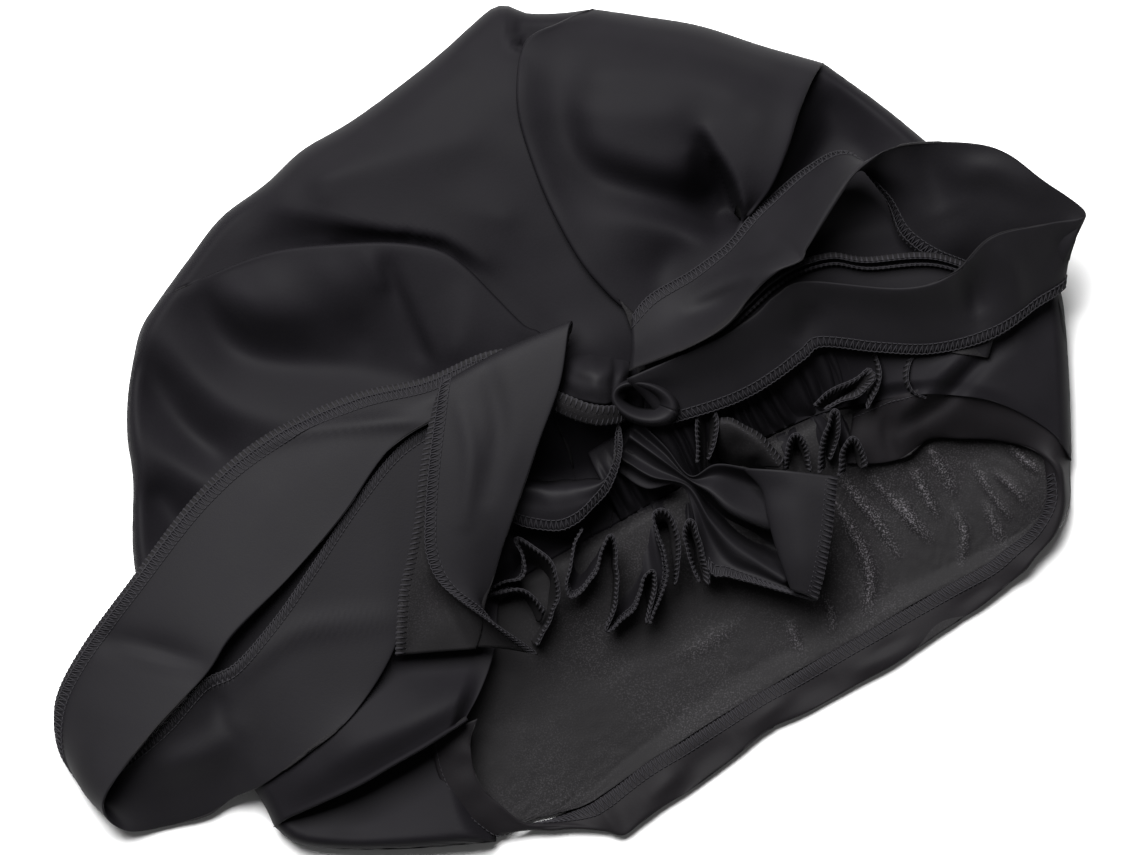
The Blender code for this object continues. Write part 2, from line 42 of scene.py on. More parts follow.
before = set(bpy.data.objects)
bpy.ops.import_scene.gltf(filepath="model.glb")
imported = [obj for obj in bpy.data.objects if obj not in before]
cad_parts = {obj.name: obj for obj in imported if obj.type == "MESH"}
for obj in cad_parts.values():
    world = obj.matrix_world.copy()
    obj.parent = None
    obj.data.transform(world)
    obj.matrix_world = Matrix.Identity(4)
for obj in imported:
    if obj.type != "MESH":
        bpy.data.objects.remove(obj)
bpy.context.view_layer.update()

MM = 0.001
BODY = "root"
MIDDLE = np.array((-1.14, 0.73, 0.0))  # the model's origin, on the drawing

# ---------------------------------------------------------------------------------------------
# Crown. Its tables hold points along its folds, laps and edges.
# ---------------------------------------------------------------------------------------------
FIELD = (-168.0, -160.0, 190.0, 162.0)  # left, lower, right and upper limit of the relief
CELL = 1.0  # of its finest raster
LEVELS = (16, 8, 4, 2, 1)  # size of the cells of one raster after another, in those of the finest
ROUNDS = 150  # relaxations of the relief at each level
WALLED = 4  # coarsest level on which laps part the cloth
LAP_OFFSET = 1.5  # least distance from a lap at which its heights are held
INSIDE = 1.001  # keeps what is read just inside the last cell
LOFT = 1.2  # filling of the bag above its drawn heights
SHOULDER = 6.0  # rise at the outline before the cloth rounds over
ROUNDING = 5.0  # reach of that rounding
OUTLINE_HEIGHT = 7.0  # where the cloth turns under the bag
START_BLEND = 8.0  # way from the mouth over which the relief takes over
SOFT = 2.8  # rounding of broad folds
CRISP = 1.0  # rounding of sharp folds
CRISP_REACH = 5.0  # distance from a sharp fold over which it fades into the other rounding
SPREADING = 2.5  # rounds of spreading that a rounding of one cell takes
CLEAR = 2.2  # distance from a lap at which its height is read
LAP_REACH = 6 * CLEAR  # beyond it a lap has no effect
SLOPE_LIMIT = 2.5  # most that the cloth falls further towards a lap
TUCK = 6.0  # cloth hidden under a lap
FULL_STEP = 5.0  # step of a lap from which on all of that is hidden
TUCK_END = 0.12  # share of a rib, at the outline, where the tuck runs out
LIP = 1.3  # radius of a lap's lip
LIP_SHARE = 0.45  # most of a lap's step that its lip takes
LIP_END = 0.05  # share of a rib, at the outline, where the lip runs out
# Section of the lip from under it to its top: way in and drop, as shares of its radius
LIP_SECTION = ((0.9, 2.0), (0.3, 1.7), (0.0, 1.0), (0.25, 0.34), (0.6, 0.08), (1.0, 0.0))
CROWN_ROWS = 112  # from the mouth to the outline
EVENNESS = 0.6  # share of even spacing; the rest crowds rows at both ends
FILM_ROUNDS = 900  # relaxations of the mesh of a panel
OUTLINE_STEPS = 30  # between two points of the outline
UNDER_WIDTH = 16.0  # of the cloth that turns under the bag
UNDER_SHARES = (0.02, 0.06, 0.13, 0.24, 0.4, 0.65, 1.0)  # of that width, at each of its rows
UNDER_TURN = 8  # rows from the outline that give a rib's direction there
RIPPLE = 0.175  # height of the faint unevenness of lying satin
RIPPLE_ROUNDS = 90  # of its spreading
RIPPLE_SEED = 7

# Heights along soft folds: (x, y, z)
SOFT_FOLDS = {
    "upper_panel": ((-92, 90, 22.5), (-60, 99, 24.5), (-35, 104, 25)),
    "upper_rim": ((-105, 84, 17.5), (-86, 97, 19), (-67, 108, 20), (-51, 119, 20), (-39, 129, 19)),
    "lobe_valley": ((-122, 65, 13), (-112, 69, 14), (-100, 70.5, 14.5)),
    "lobe_swell": ((-114, 57, 19.5), (-108, 50, 22.5), (-102, 45, 23)),
    "bowl_brim": ((-128, 53, 15.5), (-121, 47, 20.5), (-112.5, 42, 21.5), (-104, 40, 21.5), (-95, 41, 22)),
    "lobe_middle": ((-87, 58, 26), (-83, 49, 24.5), (-78, 39, 18.5), (-75, 30, 12.5)),
    "lobe_side": ((-42, 54, 27), (-38, 42, 28), (-42, 27, 27)),
    "dimple": ((-135, 50, 12), (-131, 43, 9), (-127, 35, 6.5), (-121, 28.5, 6), (-112, 25, 7),
               (-101, 23.5, 9), (-88, 23, 10.5), (-76, 21.5, 12), (-63, 18.5, 14.5), (-51, 15, 17)),
    "left_roll": ((-152, 39, 12.5), (-145, 30, 13.5), (-137.5, 20, 13.5), (-129, 11, 14), (-117, 4, 15.5),
                  (-88, 1, 20), (-65, 1, 21.5)),
    "flank_groove": ((-155, 25, 9), (-150, 16, 4.5), (-144, 6, 3), (-136, -3, 3), (-125, -11, 6)),
    "flank_ridge": ((-157, 2, 12), (-151, -6, 12.5), (-143, -13, 13), (-133, -20, 13.5), (-122, -27, 14)),
    "flank_hollow": ((-150, -24, 2.5), (-142, -34, 2), (-135, -45, 2)),
    "scoop": ((-5, 127, 23), (-4.5, 118, 23), (-2.5, 109, 22.5), (1, 100, 22), (9, 91.5, 21),
              (20, 87, 20), (33, 83, 17), (44, 78.5, 9), (52, 74.5, 2)),
    "dome": ((7, 126, 27.5), (20, 128, 28), (40, 126, 28.5), (60, 119, 30)),
    "dome_middle": ((4, 113, 29), (20, 113, 30.5), (38, 113, 31)),
    "dome_front": ((5.5, 106, 29), (8, 102, 29.5), (14, 97.5, 30), (26, 94, 30.5), (37, 92, 30)),
    "dome_shoulder": ((8, 141, 21), (40, 136, 23.5), (70, 127, 25)),
    "hollow_side": ((41.5, 99, 30), (41, 91, 28), (41, 85, 21)),
    "hollow_floor": ((49, 84, 7), (54, 77, 3)),
    "right_panel": ((63, 93, 31), (68, 112, 31)),
    "beyond_pit": ((91, 118, 5), (95, 110, 4), (91, 103, 3), (86, 95, 3), (81, 88, 6)),
    "beyond_brim": ((95, 127, 13), (105, 118.5, 13), (116, 108.5, 13.5)),
    "beyond_front": ((101, 104, 4), (107, 96, 6)),
    "lower_swell": ((-11, 106, 24.5), (-5, 87, 25), (7, 77, 26), (22, 75, 26.5), (38, 72, 25.5),
                    (50, 69, 24)),
    "lower_swell_side": ((4, 62, 28), (16, 50, 26)),
    "smudge": ((37, 64, 20), (33, 58, 19), (30, 52, 20)),
    "under_right_loop": ((50, 48, 25), (80, 66, 24), (110, 72, 22), (140, 72, 18)),
    "under_lower_strand": ((60, 30, 24), (100, 42, 22), (140, 50, 19)),
    "right_side": ((128, 14, 19), (150, 13, 20), (168, 6, 17)),
    "knot_seat": ((-6, 26, 23), (8, 30, 24), (16, 22, 22)),
    "tie_seat": ((-40, 2, 23), (-40, -30, 21), (-36, -60, 18)),
    "loop_seat": ((-62, -12, 23), (-90, -46, 22), (-120, -78, 16)),
    "loop_seat_side": ((-70, -58, 22), (-100, -88, 19)),
    "hollow_under_tie": ((-74, -90, 18.5), (-60, -87, 15.5), (-45, -85, 13), (-30, -83, 12)),
    "pouch": ((-36, -96, 22), (-58, -108, 26), (-80, -118, 25), (-96, -129, 19)),
    "flap": ((-46, -136, 11), (-62, -140, 10), (-80, -146, 9)),
    "nape": ((-27, -61, 9), (0, -44, 5), (29, -27, 5), (54, -13, 5), (79, 1, 6), (105, 9, 9)),
    "shirring_low": ((20, -28, 4), (36, -17, 4), (50, -8, 4), (72, 3.5, 5), (88, 10.5, 7)),
    "shirring_high": ((14, -14, 8), (33, -8, 9), (46, 0, 10), (68, 11, 11), (85, 18, 12)),
    "pocket_brim": ((-18, 1, 20), (-5, 4, 20), (8, 3, 18)),
    "pocket_under_knot": ((-20, -18, 4), (-8, -17, 2), (3, -16, 1.5), (11, -13, 2)),
}
# The same along sharp ones
SHARP_FOLDS = {
    "upper_crease": ((-90, 83.5, 22), (-66, 81.5, 23.8), (-42, 78, 24.8), (-22, 75, 25.5)),
    "lobe_valley_rim": ((-106, 79, 18), (-84, 74.5, 22), (-64, 70.5, 24), (-46, 67.5, 25), (-30, 59, 24)),
    "lobe_ridge": ((-73, 62, 27), (-70.5, 57, 26.5), (-68, 51, 24.5)),
    "lobe_crease": ((-66.5, 59, 24), (-63.5, 51, 20.5), (-59.5, 43, 20), (-55.5, 34, 19), (-51.5, 25, 18)),
    "lobe_step": ((-61.5, 59, 26), (-60, 51, 25), (-56, 42.5, 24), (-52, 34, 23.5), (-48, 25, 23)),
    "hollow_rim": ((47.5, 107, 31.5), (52.5, 98.5, 31.5), (57.3, 90, 31.3), (60.5, 82, 30.5), (63, 75, 28.5)),
    "hollow": ((45, 106.5, 29.5), (50, 98.5, 20), (54.6, 90, 9), (58, 82, 4), (60.5, 75, 3)),
    "right_fold": ((116, 8, 18), (128, 17, 21), (140, 25, 22), (154, 36, 20)),
}
# Lines where one side stands over the other: (x, y, height of the high side, of the low side)
LAPS = {
    "pouch_lap": ((-37, -105.5, 20, 11), (-51, -114.5, 21, 9), (-64, -122, 20, 8), (-76, -129, 19, 8),
                  (-92, -136.5, 16, 8), (-102, -141, 14, 10), (-107, -144, 13, 13)),
    "lobe_lap": ((8, -39, 5, 5), (2, -20, 2.5, 2.5), (-1, -6, 11, 11), (-6, 6, 20, 20),
                 (-8, 18, 23, 21), (-10, 33, 24, 21), (-17, 37, 26, 21.5), (-28, 48, 27, 21.5),
                 (-38, 58, 28, 21), (-48, 64, 28, 19), (-64, 66.5, 27, 16),
                 (-84, 66, 25, 13.5), (-104, 64, 21, 12), (-118, 60, 17, 12.5), (-128, 56, 15, 12.5),
                 (-139, 51, 13.5, 12.5), (-148, 47, 13, 13)),
    "middle_lap": ((14, -36, 5, 5), (18, -18, 6, 6), (25, 6, 14, 14), (27, 32.5, 24, 21.5),
                   (20.5, 41, 25.5, 22), (13, 48, 27, 22.5), (3, 60, 27.5, 23), (-7, 78, 28, 23.5),
                   (-14, 95, 28, 24), (-19, 112, 27.5, 23.5), (-19.5, 126, 26, 21.5),
                   (-17.5, 137, 22, 14), (-13, 142, 20, 12.5), (-5, 145.5, 17, 12.5), (2, 149, 14, 13),
                   (8, 151, 13, 13)),
    "right_ridge": ((52, -13.5, 5, 5), (55, 5, 9, 9), (57, 22, 17, 17), (59, 50, 22, 21), (62, 71, 22, 18),
                    (72, 86, 29, 15), (78, 100, 31, 13), (82, 113, 29, 15), (87, 125, 21, 12),
                    (91, 131.5, 13, 13)),
    "top_notch": ((-18, 132, 22, 18), (-20, 139, 20, 15), (-22, 148, 15, 13)),
}
# Which side of a lap is high, going along it: 1 is the left
HIGH_SIDE = {"pouch_lap": -1, "lobe_lap": 1, "middle_lap": -1, "right_ridge": 1, "top_notch": 1}
# The two ends of the upper layer at the band: (x, y)
SEAMS = {
    "left_seam": ((-27, -147), (-27, -149.5)),
    "right_seam": ((174, -1), (180.5, -12)),
}

# Panels of the bag between its laps, from the lower left round to the right. Columns: lines of
# the mesh; lap or seam on the left and on the right; mouth edge (x, y, z); outline (x, y)
PANELS = (
    (22, "left_seam", "pouch_lap",
     ((-27, -147, 5), (-36, -142, 8), (-45, -131, 10), (-49, -121, 9), (-49.5, -116, 9)),
     ((-27, -149.5), (-60, -152), (-85, -152), (-99, -150), (-107, -144))),
    (128, "pouch_lap", "lobe_lap",
     ((-37, -105.5, 20), (-33, -98, 19), (-29, -88, 16), (-26.5, -78, 14), (-26, -66, 12), (-24, -59, 9),
      (-12, -51, 6), (-2, -45, 5), (8, -39, 5)),
     ((-107, -144), (-112, -134), (-128, -110), (-144, -85), (-154, -64), (-158, -45), (-158, -19),
      (-160, -4), (-160, 10), (-158, 24), (-155, 36), (-148, 47))),
    (58, "lobe_lap", "middle_lap",
     ((8, -39, 5), (14, -36, 5)),
     ((-148, 47), (-137, 62), (-126, 76), (-110, 88), (-97, 100), (-80, 110), (-62, 123), (-47, 135),
      (-36, 145), (-28, 151.5), (-22, 152), (-16, 149.5), (-4, 149.5), (8, 151))),
    (72, "middle_lap", "right_ridge",
     ((14, -36, 5), (22, -31, 5), (29, -27, 5), (37, -22.5, 5), (48, -16, 5), (52, -13.5, 5)),
     ((8, 151), (25, 148.5), (46, 145), (68, 138), (82, 134), (91, 131.5))),
    (84, "right_ridge", "right_seam",
     ((52, -13.5, 5), (60, -9.5, 5), (74, -2, 5), (90, 5, 7), (105, 8.5, 13), (127, 12, 22.5),
      (150, 10, 22.2), (165, 5, 19.2), (174, -1, 15.8)),
     ((91, 131.5), (111, 117), (127, 104), (150, 84), (167, 66), (176, 51), (178.5, 35), (180, 10),
      (180.5, -12))),
)


def joined(rows):
    """Rows with an extra one beyond each end, for a smooth line through them."""
    rows = np.array(rows, float)
    return np.vstack([2 * rows[0] - rows[1], rows, 2 * rows[-1] - rows[-2]])


def line(rows, steps=24):
    """Catmull-Rom line through the rows, with a set count of steps between two rows."""
    ends = joined(rows)
    t = (np.arange(steps) / steps)[:, None]
    runs = [0.5 * (2 * b + (c - a) * t + (2 * a - 5 * b + 4 * c - d) * t**2 + (3 * b - a - 3 * c + d) * t**3)
            for a, b, c, d in zip(ends, ends[1:], ends[2:], ends[3:])]
    return np.vstack(runs + [ends[-2:-1]])


def way_along(points):
    """Length of a line of points up to each of them."""
    return np.concatenate([[0], np.cumsum(np.linalg.norm(np.diff(points, axis=0), axis=1))])


def along(rows, shares):
    """Points of the smooth line through the rows at shares of its length as seen from above."""
    points = line(rows)
    way = way_along(points[:, :2])
    return np.column_stack([np.interp(np.asarray(shares) * way[-1], way, column) for column in points.T])


def smooth(share):
    """0 below 0, 1 above 1, and a soft rise between."""
    share = np.clip(share, 0, 1)
    return share * share * (3 - 2 * share)


def rise(value, start, reach):
    """Soft rise from 0 at a start to 1 a reach further on."""
    return smooth((value - start) / reach)


def quarter_round(way, reach):
    """Drop of a rounded edge, from 1 on the edge to 0 at the reach."""
    return 1 - np.sqrt(1 - (1 - np.clip(way / reach, 0, 1)) ** 2)


def sideways(points):
    """Unit normals to the left of a line, as seen from above."""
    run = np.gradient(points[:, :2], axis=0)
    run /= np.maximum(np.linalg.norm(run, axis=1), 1e-9)[:, None]
    return np.column_stack([-run[:, 1], run[:, 0]])


def spread(height, free=None, rounds=1):
    """Each cell becomes the mean of itself and its free neighbours, round after round."""
    free = np.ones(height.shape) if free is None else free
    f = np.pad(free, 1, mode="edge")
    count = f[:-2, 1:-1] + f[2:, 1:-1] + f[1:-1, :-2] + f[1:-1, 2:] + f[1:-1, 1:-1]
    for _ in range(int(rounds)):
        h = np.pad(height * free, 1, mode="edge")
        total = h[:-2, 1:-1] + h[2:, 1:-1] + h[1:-1, :-2] + h[1:-1, 2:] + h[1:-1, 1:-1]
        height = np.where(count > 0, total / np.maximum(count, 1), height)
    return height


def waves(seed, shape, rounds):
    """Faint waves of unit height, the longer the more rounds, and the same on each run."""
    height = spread(np.random.default_rng(seed).normal(size=shape), rounds=rounds)
    return height / height.std()


def between(table, row, column):
    """Values of a table at places between its cells."""
    i = np.minimum(row.astype(int), table.shape[0] - 2)
    j = np.minimum(column.astype(int), table.shape[1] - 2)
    v, u = row - i, column - j
    if table.ndim > 2:
        v, u = v[:, None], u[:, None]
    return ((table[i, j] * (1 - v) + table[i + 1, j] * v) * (1 - u)
            + (table[i, j + 1] * (1 - v) + table[i + 1, j + 1] * v) * u)


class Relief:
    """Height of the upper layer, stretched like cloth between its folds, laps and outline."""

    def __init__(self):
        height = None
        for level in LEVELS:
            cell = CELL * level
            shape = (int((FIELD[3] - FIELD[1]) / cell) + 2, int((FIELD[2] - FIELD[0]) / cell) + 2)
            if height is None:
                height = np.full(shape, SHOULDER)
            else:
                y, x = np.indices(shape) * cell
                height = self.at(x + FIELD[0], y + FIELD[1])
            self.cell = cell
            held, goal = self.held_cells(shape)
            free = np.ones(shape)
            if level <= WALLED:
                free -= self.cells(shape, [line(rows)[:, :3] for rows in LAPS.values()])[0]
            for _ in range(ROUNDS):
                height = spread(np.where(held, goal, height), free)
            self.height = np.where(held, goal, height)
        sharp = self.cells(shape, [line(rows) for rows in SHARP_FOLDS.values()])[0]
        sharp = spread(sharp, rounds=SPREADING * CRISP_REACH**2)
        crispness = np.clip(sharp * CRISP_REACH * math.sqrt(2 * math.pi), 0, 1)
        crisp = spread(self.height, free, SPREADING * CRISP**2)
        soft = spread(crisp, free, SPREADING * SOFT**2)
        self.height = soft + (crisp - soft) * crispness + waves(RIPPLE_SEED, shape, RIPPLE_ROUNDS) * RIPPLE

    def cells(self, shape, lines):
        """Mask of the cells that lines cross, and the mean height of the lines there."""
        count = np.zeros(shape)
        total = np.zeros(shape)
        for points in lines:
            column = np.rint((points[:, 0] - FIELD[0]) / self.cell).astype(int)
            row = np.rint((points[:, 1] - FIELD[1]) / self.cell).astype(int)
            np.add.at(count, (row, column), 1)
            np.add.at(total, (row, column), points[:, 2])
        return (count > 0).astype(float), total / np.maximum(count, 1)

    def held_cells(self, shape):
        """Mask of the cells that folds, laps and the outline hold, and the heights that they hold."""
        lines = [line(rows) for rows in (*SOFT_FOLDS.values(), *SHARP_FOLDS.values())]
        for name, rows in LAPS.items():
            lap = line(rows)
            side = sideways(lap) * max(LAP_OFFSET, self.cell / 2) * HIGH_SIDE[name]
            lines.append(np.column_stack([lap[:, :2] + side, lap[:, 2]]))
            lines.append(np.column_stack([lap[:, :2] - side, lap[:, 3]]))
        for _, _, _, _, outline in PANELS:
            edge = line(outline)
            lines.append(np.column_stack([edge, np.full(len(edge), OUTLINE_HEIGHT + SHOULDER)]))
        held, goal = self.cells(shape, lines)
        return held > 0, goal * LOFT

    def at(self, x, y):
        """Height at places, in drawn millimetres."""
        row = np.clip((y - FIELD[1]) / self.cell, 0, self.height.shape[0] - INSIDE)
        column = np.clip((x - FIELD[0]) / self.cell, 0, self.height.shape[1] - INSIDE)
        return between(self.height, row, column)


# ---------------------------------------------------------------------------------------------
# Shapes that all pieces use
# ---------------------------------------------------------------------------------------------
def placed(points):
    """Drawn millimetres to metres in the model's frame."""
    return (np.asarray(points, float) - MIDDLE) * MM


def drawn(name):
    """Corners of a finished piece, in drawn millimetres."""
    mesh = bpy.data.objects[name].data
    places = np.empty(len(mesh.vertices) * 3)
    mesh.vertices.foreach_get("co", places)
    return places.reshape(-1, 3) / MM + MIDDLE


def unit(vectors):
    return vectors / np.maximum(np.linalg.norm(vectors, axis=-1), 1e-9)[..., None]


def matched(lines, steps):
    """Smooth lines whose rows belong together one by one."""
    return np.array([line(rows, steps) for rows in lines])


def stretched(lines, count):
    """Smooth lines with the same count of points, evenly spaced on each."""
    return np.array([along(rows, np.linspace(0, 1, count)) for rows in lines])


def patch(lines, across):
    """Surface through lines that lie side by side: (across, along, xyz)."""
    flat = line(np.asarray(lines).reshape(len(lines), -1), across)
    return flat.reshape(len(flat), -1, 3)


def facing(points):
    """Unit normals of a surface, on the side that its cloth shows."""
    return unit(np.cross(np.gradient(points, axis=1), np.gradient(points, axis=0)))


def creased(points, creases):
    """Raise or sink a surface along lines seen from above: (height, width, (x, y), (x, y), ...)."""
    points = points.copy()
    for height, width, *route in creases:
        points[..., 2] += height * beside(points, width, route)
    return points


CREASE_STEPS = 10
CREASE_END = 0.06  # share of a half wave that is left out at each end of a crease
CREASE_FADE = 0.6  # the lower, the nearer to its ends a crease keeps its height


def beside(points, width, route):
    """How near a line points are: 1 on it, fading to its sides and ends."""
    way = line(route, CREASE_STEPS)
    places = points[..., :2]
    near = np.full(points.shape[:2], np.inf)
    part = np.zeros(points.shape[:2])
    for number, (start, end) in enumerate(zip(way, way[1:])):
        run = end - start
        step = np.clip((places - start) @ run / (run @ run), 0, 1)
        gap = ((places - start - step[..., None] * run) ** 2).sum(axis=-1)
        closer = gap < near
        near[closer] = gap[closer]
        part[closer] = (number + step[closer]) / (len(way) - 1)
    strength = np.sin(math.pi * (CREASE_END + (1 - 2 * CREASE_END) * part)) ** CREASE_FADE
    return strength * np.exp(-near / width**2)


def quilted(points, seed, rounds, height):
    """Faint unevenness that runs along a surface, the same on each run."""
    return points + facing(points) * (waves(seed, points.shape[:2], rounds) * height)[..., None]


class Ground:
    """How high the finished pieces are, on a raster."""

    CELL = 2.0
    LEFT, LOWER = -200.0, -165.0
    SHAPE = (170, 200)
    HOLE = 6.0  # a cell this far below its neighbours fell between the points
    CLEARANCE = 0.8  # of a carried surface
    LIFT_ROUNDS = 6  # of spreading, so that the raster's cells don't show in what it carries

    def __init__(self, *names):
        self.height = np.zeros(self.SHAPE)
        for name in names:
            self.add(drawn(name))

    def add(self, points):
        """Raise the cells under the points, and the holes between them."""
        flat = np.asarray(points).reshape(-1, 3)
        row = np.rint((flat[:, 1] - self.LOWER) / self.CELL).astype(int)
        column = np.rint((flat[:, 0] - self.LEFT) / self.CELL).astype(int)
        np.maximum.at(self.height, (row, column), flat[:, 2])
        wide = np.pad(self.height, 1)
        near = np.max([wide[:-2, 1:-1], wide[2:, 1:-1], wide[1:-1, :-2], wide[1:-1, 2:]], axis=0)
        self.height = np.where(self.height < near - self.HOLE, near, self.height)

    def at(self, x, y):
        """Height at places, read from three by three cells as a smooth spline."""
        row = np.clip((y - self.LOWER) / self.CELL, 1, self.SHAPE[0] - 2)
        column = np.clip((x - self.LEFT) / self.CELL, 1, self.SHAPE[1] - 2)
        i, j = np.rint(row).astype(int), np.rint(column).astype(int)
        down, across = (((0.5 - t) ** 2 / 2, 0.75 - t**2, (0.5 + t) ** 2 / 2)
                        for t in (row - i, column - j))
        return sum(down[m] * across[n] * self.height[i + m - 1, j + n - 1]
                   for m in range(3) for n in range(3))

    def carry(self, points):
        """Lift a surface softly where it would sink into what is below."""
        points = points.copy()
        over = points[..., 2] - self.at(points[..., 0], points[..., 1]) - self.CLEARANCE
        points[..., 2] += spread(np.logaddexp(0, -over), rounds=self.LIFT_ROUNDS)
        return points


def made_mesh(name, bm, *finishes):
    """A mesh of what a bmesh holds, which is let go."""
    mesh = bpy.data.meshes.new(name)
    bm.to_mesh(mesh)
    bm.free()
    for finish in finishes:
        mesh.materials.append(finish)
    return mesh


def grid_mesh(name, grids, *finishes):
    """A mesh with one sheet through each grid of points (across, along, xyz)."""
    bm = bmesh.new()
    for points in grids:
        rows, columns = points.shape[:2]
        bmesh.ops.create_grid(bm, x_segments=columns - 1, y_segments=rows - 1, size=1)
    mesh = made_mesh(name, bm, *finishes)
    corners = placed(np.concatenate([points.reshape(-1, 3) for points in grids]))
    mesh.vertices.foreach_set("co", corners.reshape(-1))
    mesh.update()
    return mesh


def shown(mesh):
    """An object of a smooth mesh, in the scene."""
    mesh.shade_smooth()
    piece = bpy.data.objects.new(mesh.name, mesh)
    bpy.context.scene.collection.objects.link(piece)
    return piece


def cloth(name, grids, wall, face, back="reverse"):
    """Sheets through grids of points, with a wall and a finish of its own on their inner side."""
    looks = finishes()
    piece = shown(grid_mesh(name, grids, looks[face], looks[back]))
    maker = piece.modifiers.new("wall", "SOLIDIFY")
    maker.thickness = wall * MM
    maker.offset = -1
    maker.material_offset = 1
    return piece


CROSSWISE = (0.3, 0.2, 1.0)  # a direction that no thread runs along
MERGE = 1e-7  # metres


def tubes(name, paths, thread, finish):
    """Round threads along paths of points, closed at both ends."""
    radius, sides = thread
    turn = np.linspace(0, 2 * math.pi, sides + 1)[:, None, None]
    rings = []
    for path in paths:
        run = unit(np.gradient(path, axis=0))
        side = unit(np.cross(run, CROSSWISE))
        up = np.cross(side, run)
        thick = np.full((len(path), 1), radius)
        thick[[0, -1]] = 0
        rings.append(path + (side * np.cos(turn) + up * np.sin(turn)) * thick)
    mesh = grid_mesh(name, rings, finish)
    bm = bmesh.new()
    bm.from_mesh(mesh)
    bmesh.ops.remove_doubles(bm, verts=bm.verts, dist=MERGE)
    bmesh.ops.recalc_face_normals(bm, faces=bm.faces)
    bm.to_mesh(mesh)
    bm.free()
    return shown(mesh)


def dressed(piece, slot, *nodes):
    """A piece rides on the bonnet's one body and stands for its CAD nodes; its slot is not used."""
    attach(piece, BODY)
    if nodes:
        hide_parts(*nodes)
    return piece


# ---------------------------------------------------------------------------------------------
# Overlocked edges
# ---------------------------------------------------------------------------------------------
OVERLOCK_WIDTH = 3.8  # from the edge to the needle line
STITCH = 1.9  # along the edge
LOOPER_THREAD = (0.25, 5)  # radius and sides of each thread
NEEDLE_THREAD = (0.22, 4)
# One stitch of each thread. Columns: way along (stitches), way in from the edge (widths), height
# over the cloth's outer face. The looper's thread goes round the edge, the chain runs along it.
LOOPER = (
    (0.00, 1.00, 0.12), (0.18, 0.55, 0.34), (0.36, 0.06, 0.26), (0.42, -0.02, -0.18),
    (0.46, 0.45, -0.62), (0.50, 0.90, -0.50), (0.54, 0.45, -0.62), (0.58, -0.02, -0.18),
    (0.64, 0.06, 0.26), (0.82, 0.55, 0.34),
)
CHAIN = ((0.0, 0.05, 0.38), (0.25, -0.02, 0.26), (0.5, 0.03, 0.40), (0.75, 0.10, 0.50))
NEEDLE = ((0.05, 1.08, -0.2), (0.22, 1.08, 0.30), (0.78, 1.08, 0.30), (0.95, 1.08, -0.2))
TOP_STITCH = ((0.1, 0.9, -0.2), (0.3, 0.9, 0.24), (0.7, 0.9, 0.24), (0.9, 0.9, -0.2))


class Edge:
    """The strip of a surface beside one of its edges, for stitches to lie on."""

    ROWS = 6

    def __init__(self, points, width=OVERLOCK_WIDTH):
        inward = np.linalg.norm(np.diff(points, axis=0), axis=-1).cumsum(axis=0)
        inward = np.vstack([np.zeros((1, points.shape[1])), inward])
        ways = np.linspace(0, width, self.ROWS)
        self.strip = np.array([[[np.interp(way, inward[:, j], points[:, j, k]) for k in range(3)]
                                for j in range(points.shape[1])] for way in ways])
        self.normal = facing(self.strip)
        self.way = way_along(self.strip[0])
        self.width = width

    def at(self, way, inward, height):
        """Places along, in from the edge (in widths) and over the cloth."""
        column = np.interp(way, self.way, np.arange(len(self.way)))
        within = np.clip(inward, 0, 1)
        row = within * (self.ROWS - 1)
        place, normal = between(self.strip, row, column), unit(between(self.normal, row, column))
        last = len(self.way) - 2
        out = unit(self.strip[0] - self.strip[1])[np.minimum(column.astype(int), last)]
        return place - out * (inward - within)[:, None] * self.width + normal * height[:, None]

    def stitched(self, pattern, start=0.0, end=1.0):
        """Path of a thread that repeats a stitch from one share of the edge to another."""
        first, last = start * self.way[-1], end * self.way[-1]
        count = max(2, int((last - first) / STITCH))
        table = np.array(pattern)
        way = first + (np.arange(count)[:, None] + table[:, 0]) * (last - first) / count
        inward = np.tile(table[:, 1], count)
        height = np.tile(table[:, 2], count)
        return self.at(way.reshape(-1), inward, height)


def stitching(name, paths, thread):
    """Threads along paths, as one piece."""
    return dressed(tubes(name, paths, thread, finishes()["thread"]), "overlock_thread")


def overlock(name, surfaces, width=OVERLOCK_WIDTH):
    """Looper and needle threads along the first row of each surface."""
    edges = [Edge(points, width) for points in surfaces]
    loops = [edge.stitched(LOOPER) for edge in edges]
    straight = [edge.stitched(pattern) for edge in edges for pattern in (NEEDLE, CHAIN)]
    return [stitching(name + "_overlock", loops, LOOPER_THREAD),
            stitching(name + "_needle_thread", straight, NEEDLE_THREAD)]


# ---------------------------------------------------------------------------------------------
# Mesh of the crown
# ---------------------------------------------------------------------------------------------
def crown_grid(relief):
    """Ribs of the bag from the mouth over the upper layer to the outline, and a little way under."""
    even = np.linspace(0, 1, CROWN_ROWS)
    shares = even * EVENNESS + (1 - np.cos(even * np.pi)) / 2 * (1 - EVENNESS)
    columns = []
    for count, left_name, right_name, mouth, outline in PANELS:
        s = np.linspace(0, 1, count)
        near, far = along(mouth, s), along(outline, s)
        laps, edges = [], []
        for name, turn in ((left_name, -1), (right_name, 1)):
            side = along(LAPS.get(name) or SEAMS[name], shares)
            if name in LAPS:
                into = sideways(side) * turn
                laps.append((side, into))
                edges.append(edge_columns(relief, side, into, HIGH_SIDE[name] == turn, shares))
            else:
                edges.append([side])
        start, end = (edge[-1][:, :2] for edge in edges)
        columns += edges[0][:-1]
        columns += panel_columns(relief, start, end, near, far, shares, laps)
        columns += edges[1][:-1][::-1]
    upper = np.array(columns).transpose(1, 0, 2)
    return np.concatenate([upper, underside(upper)])


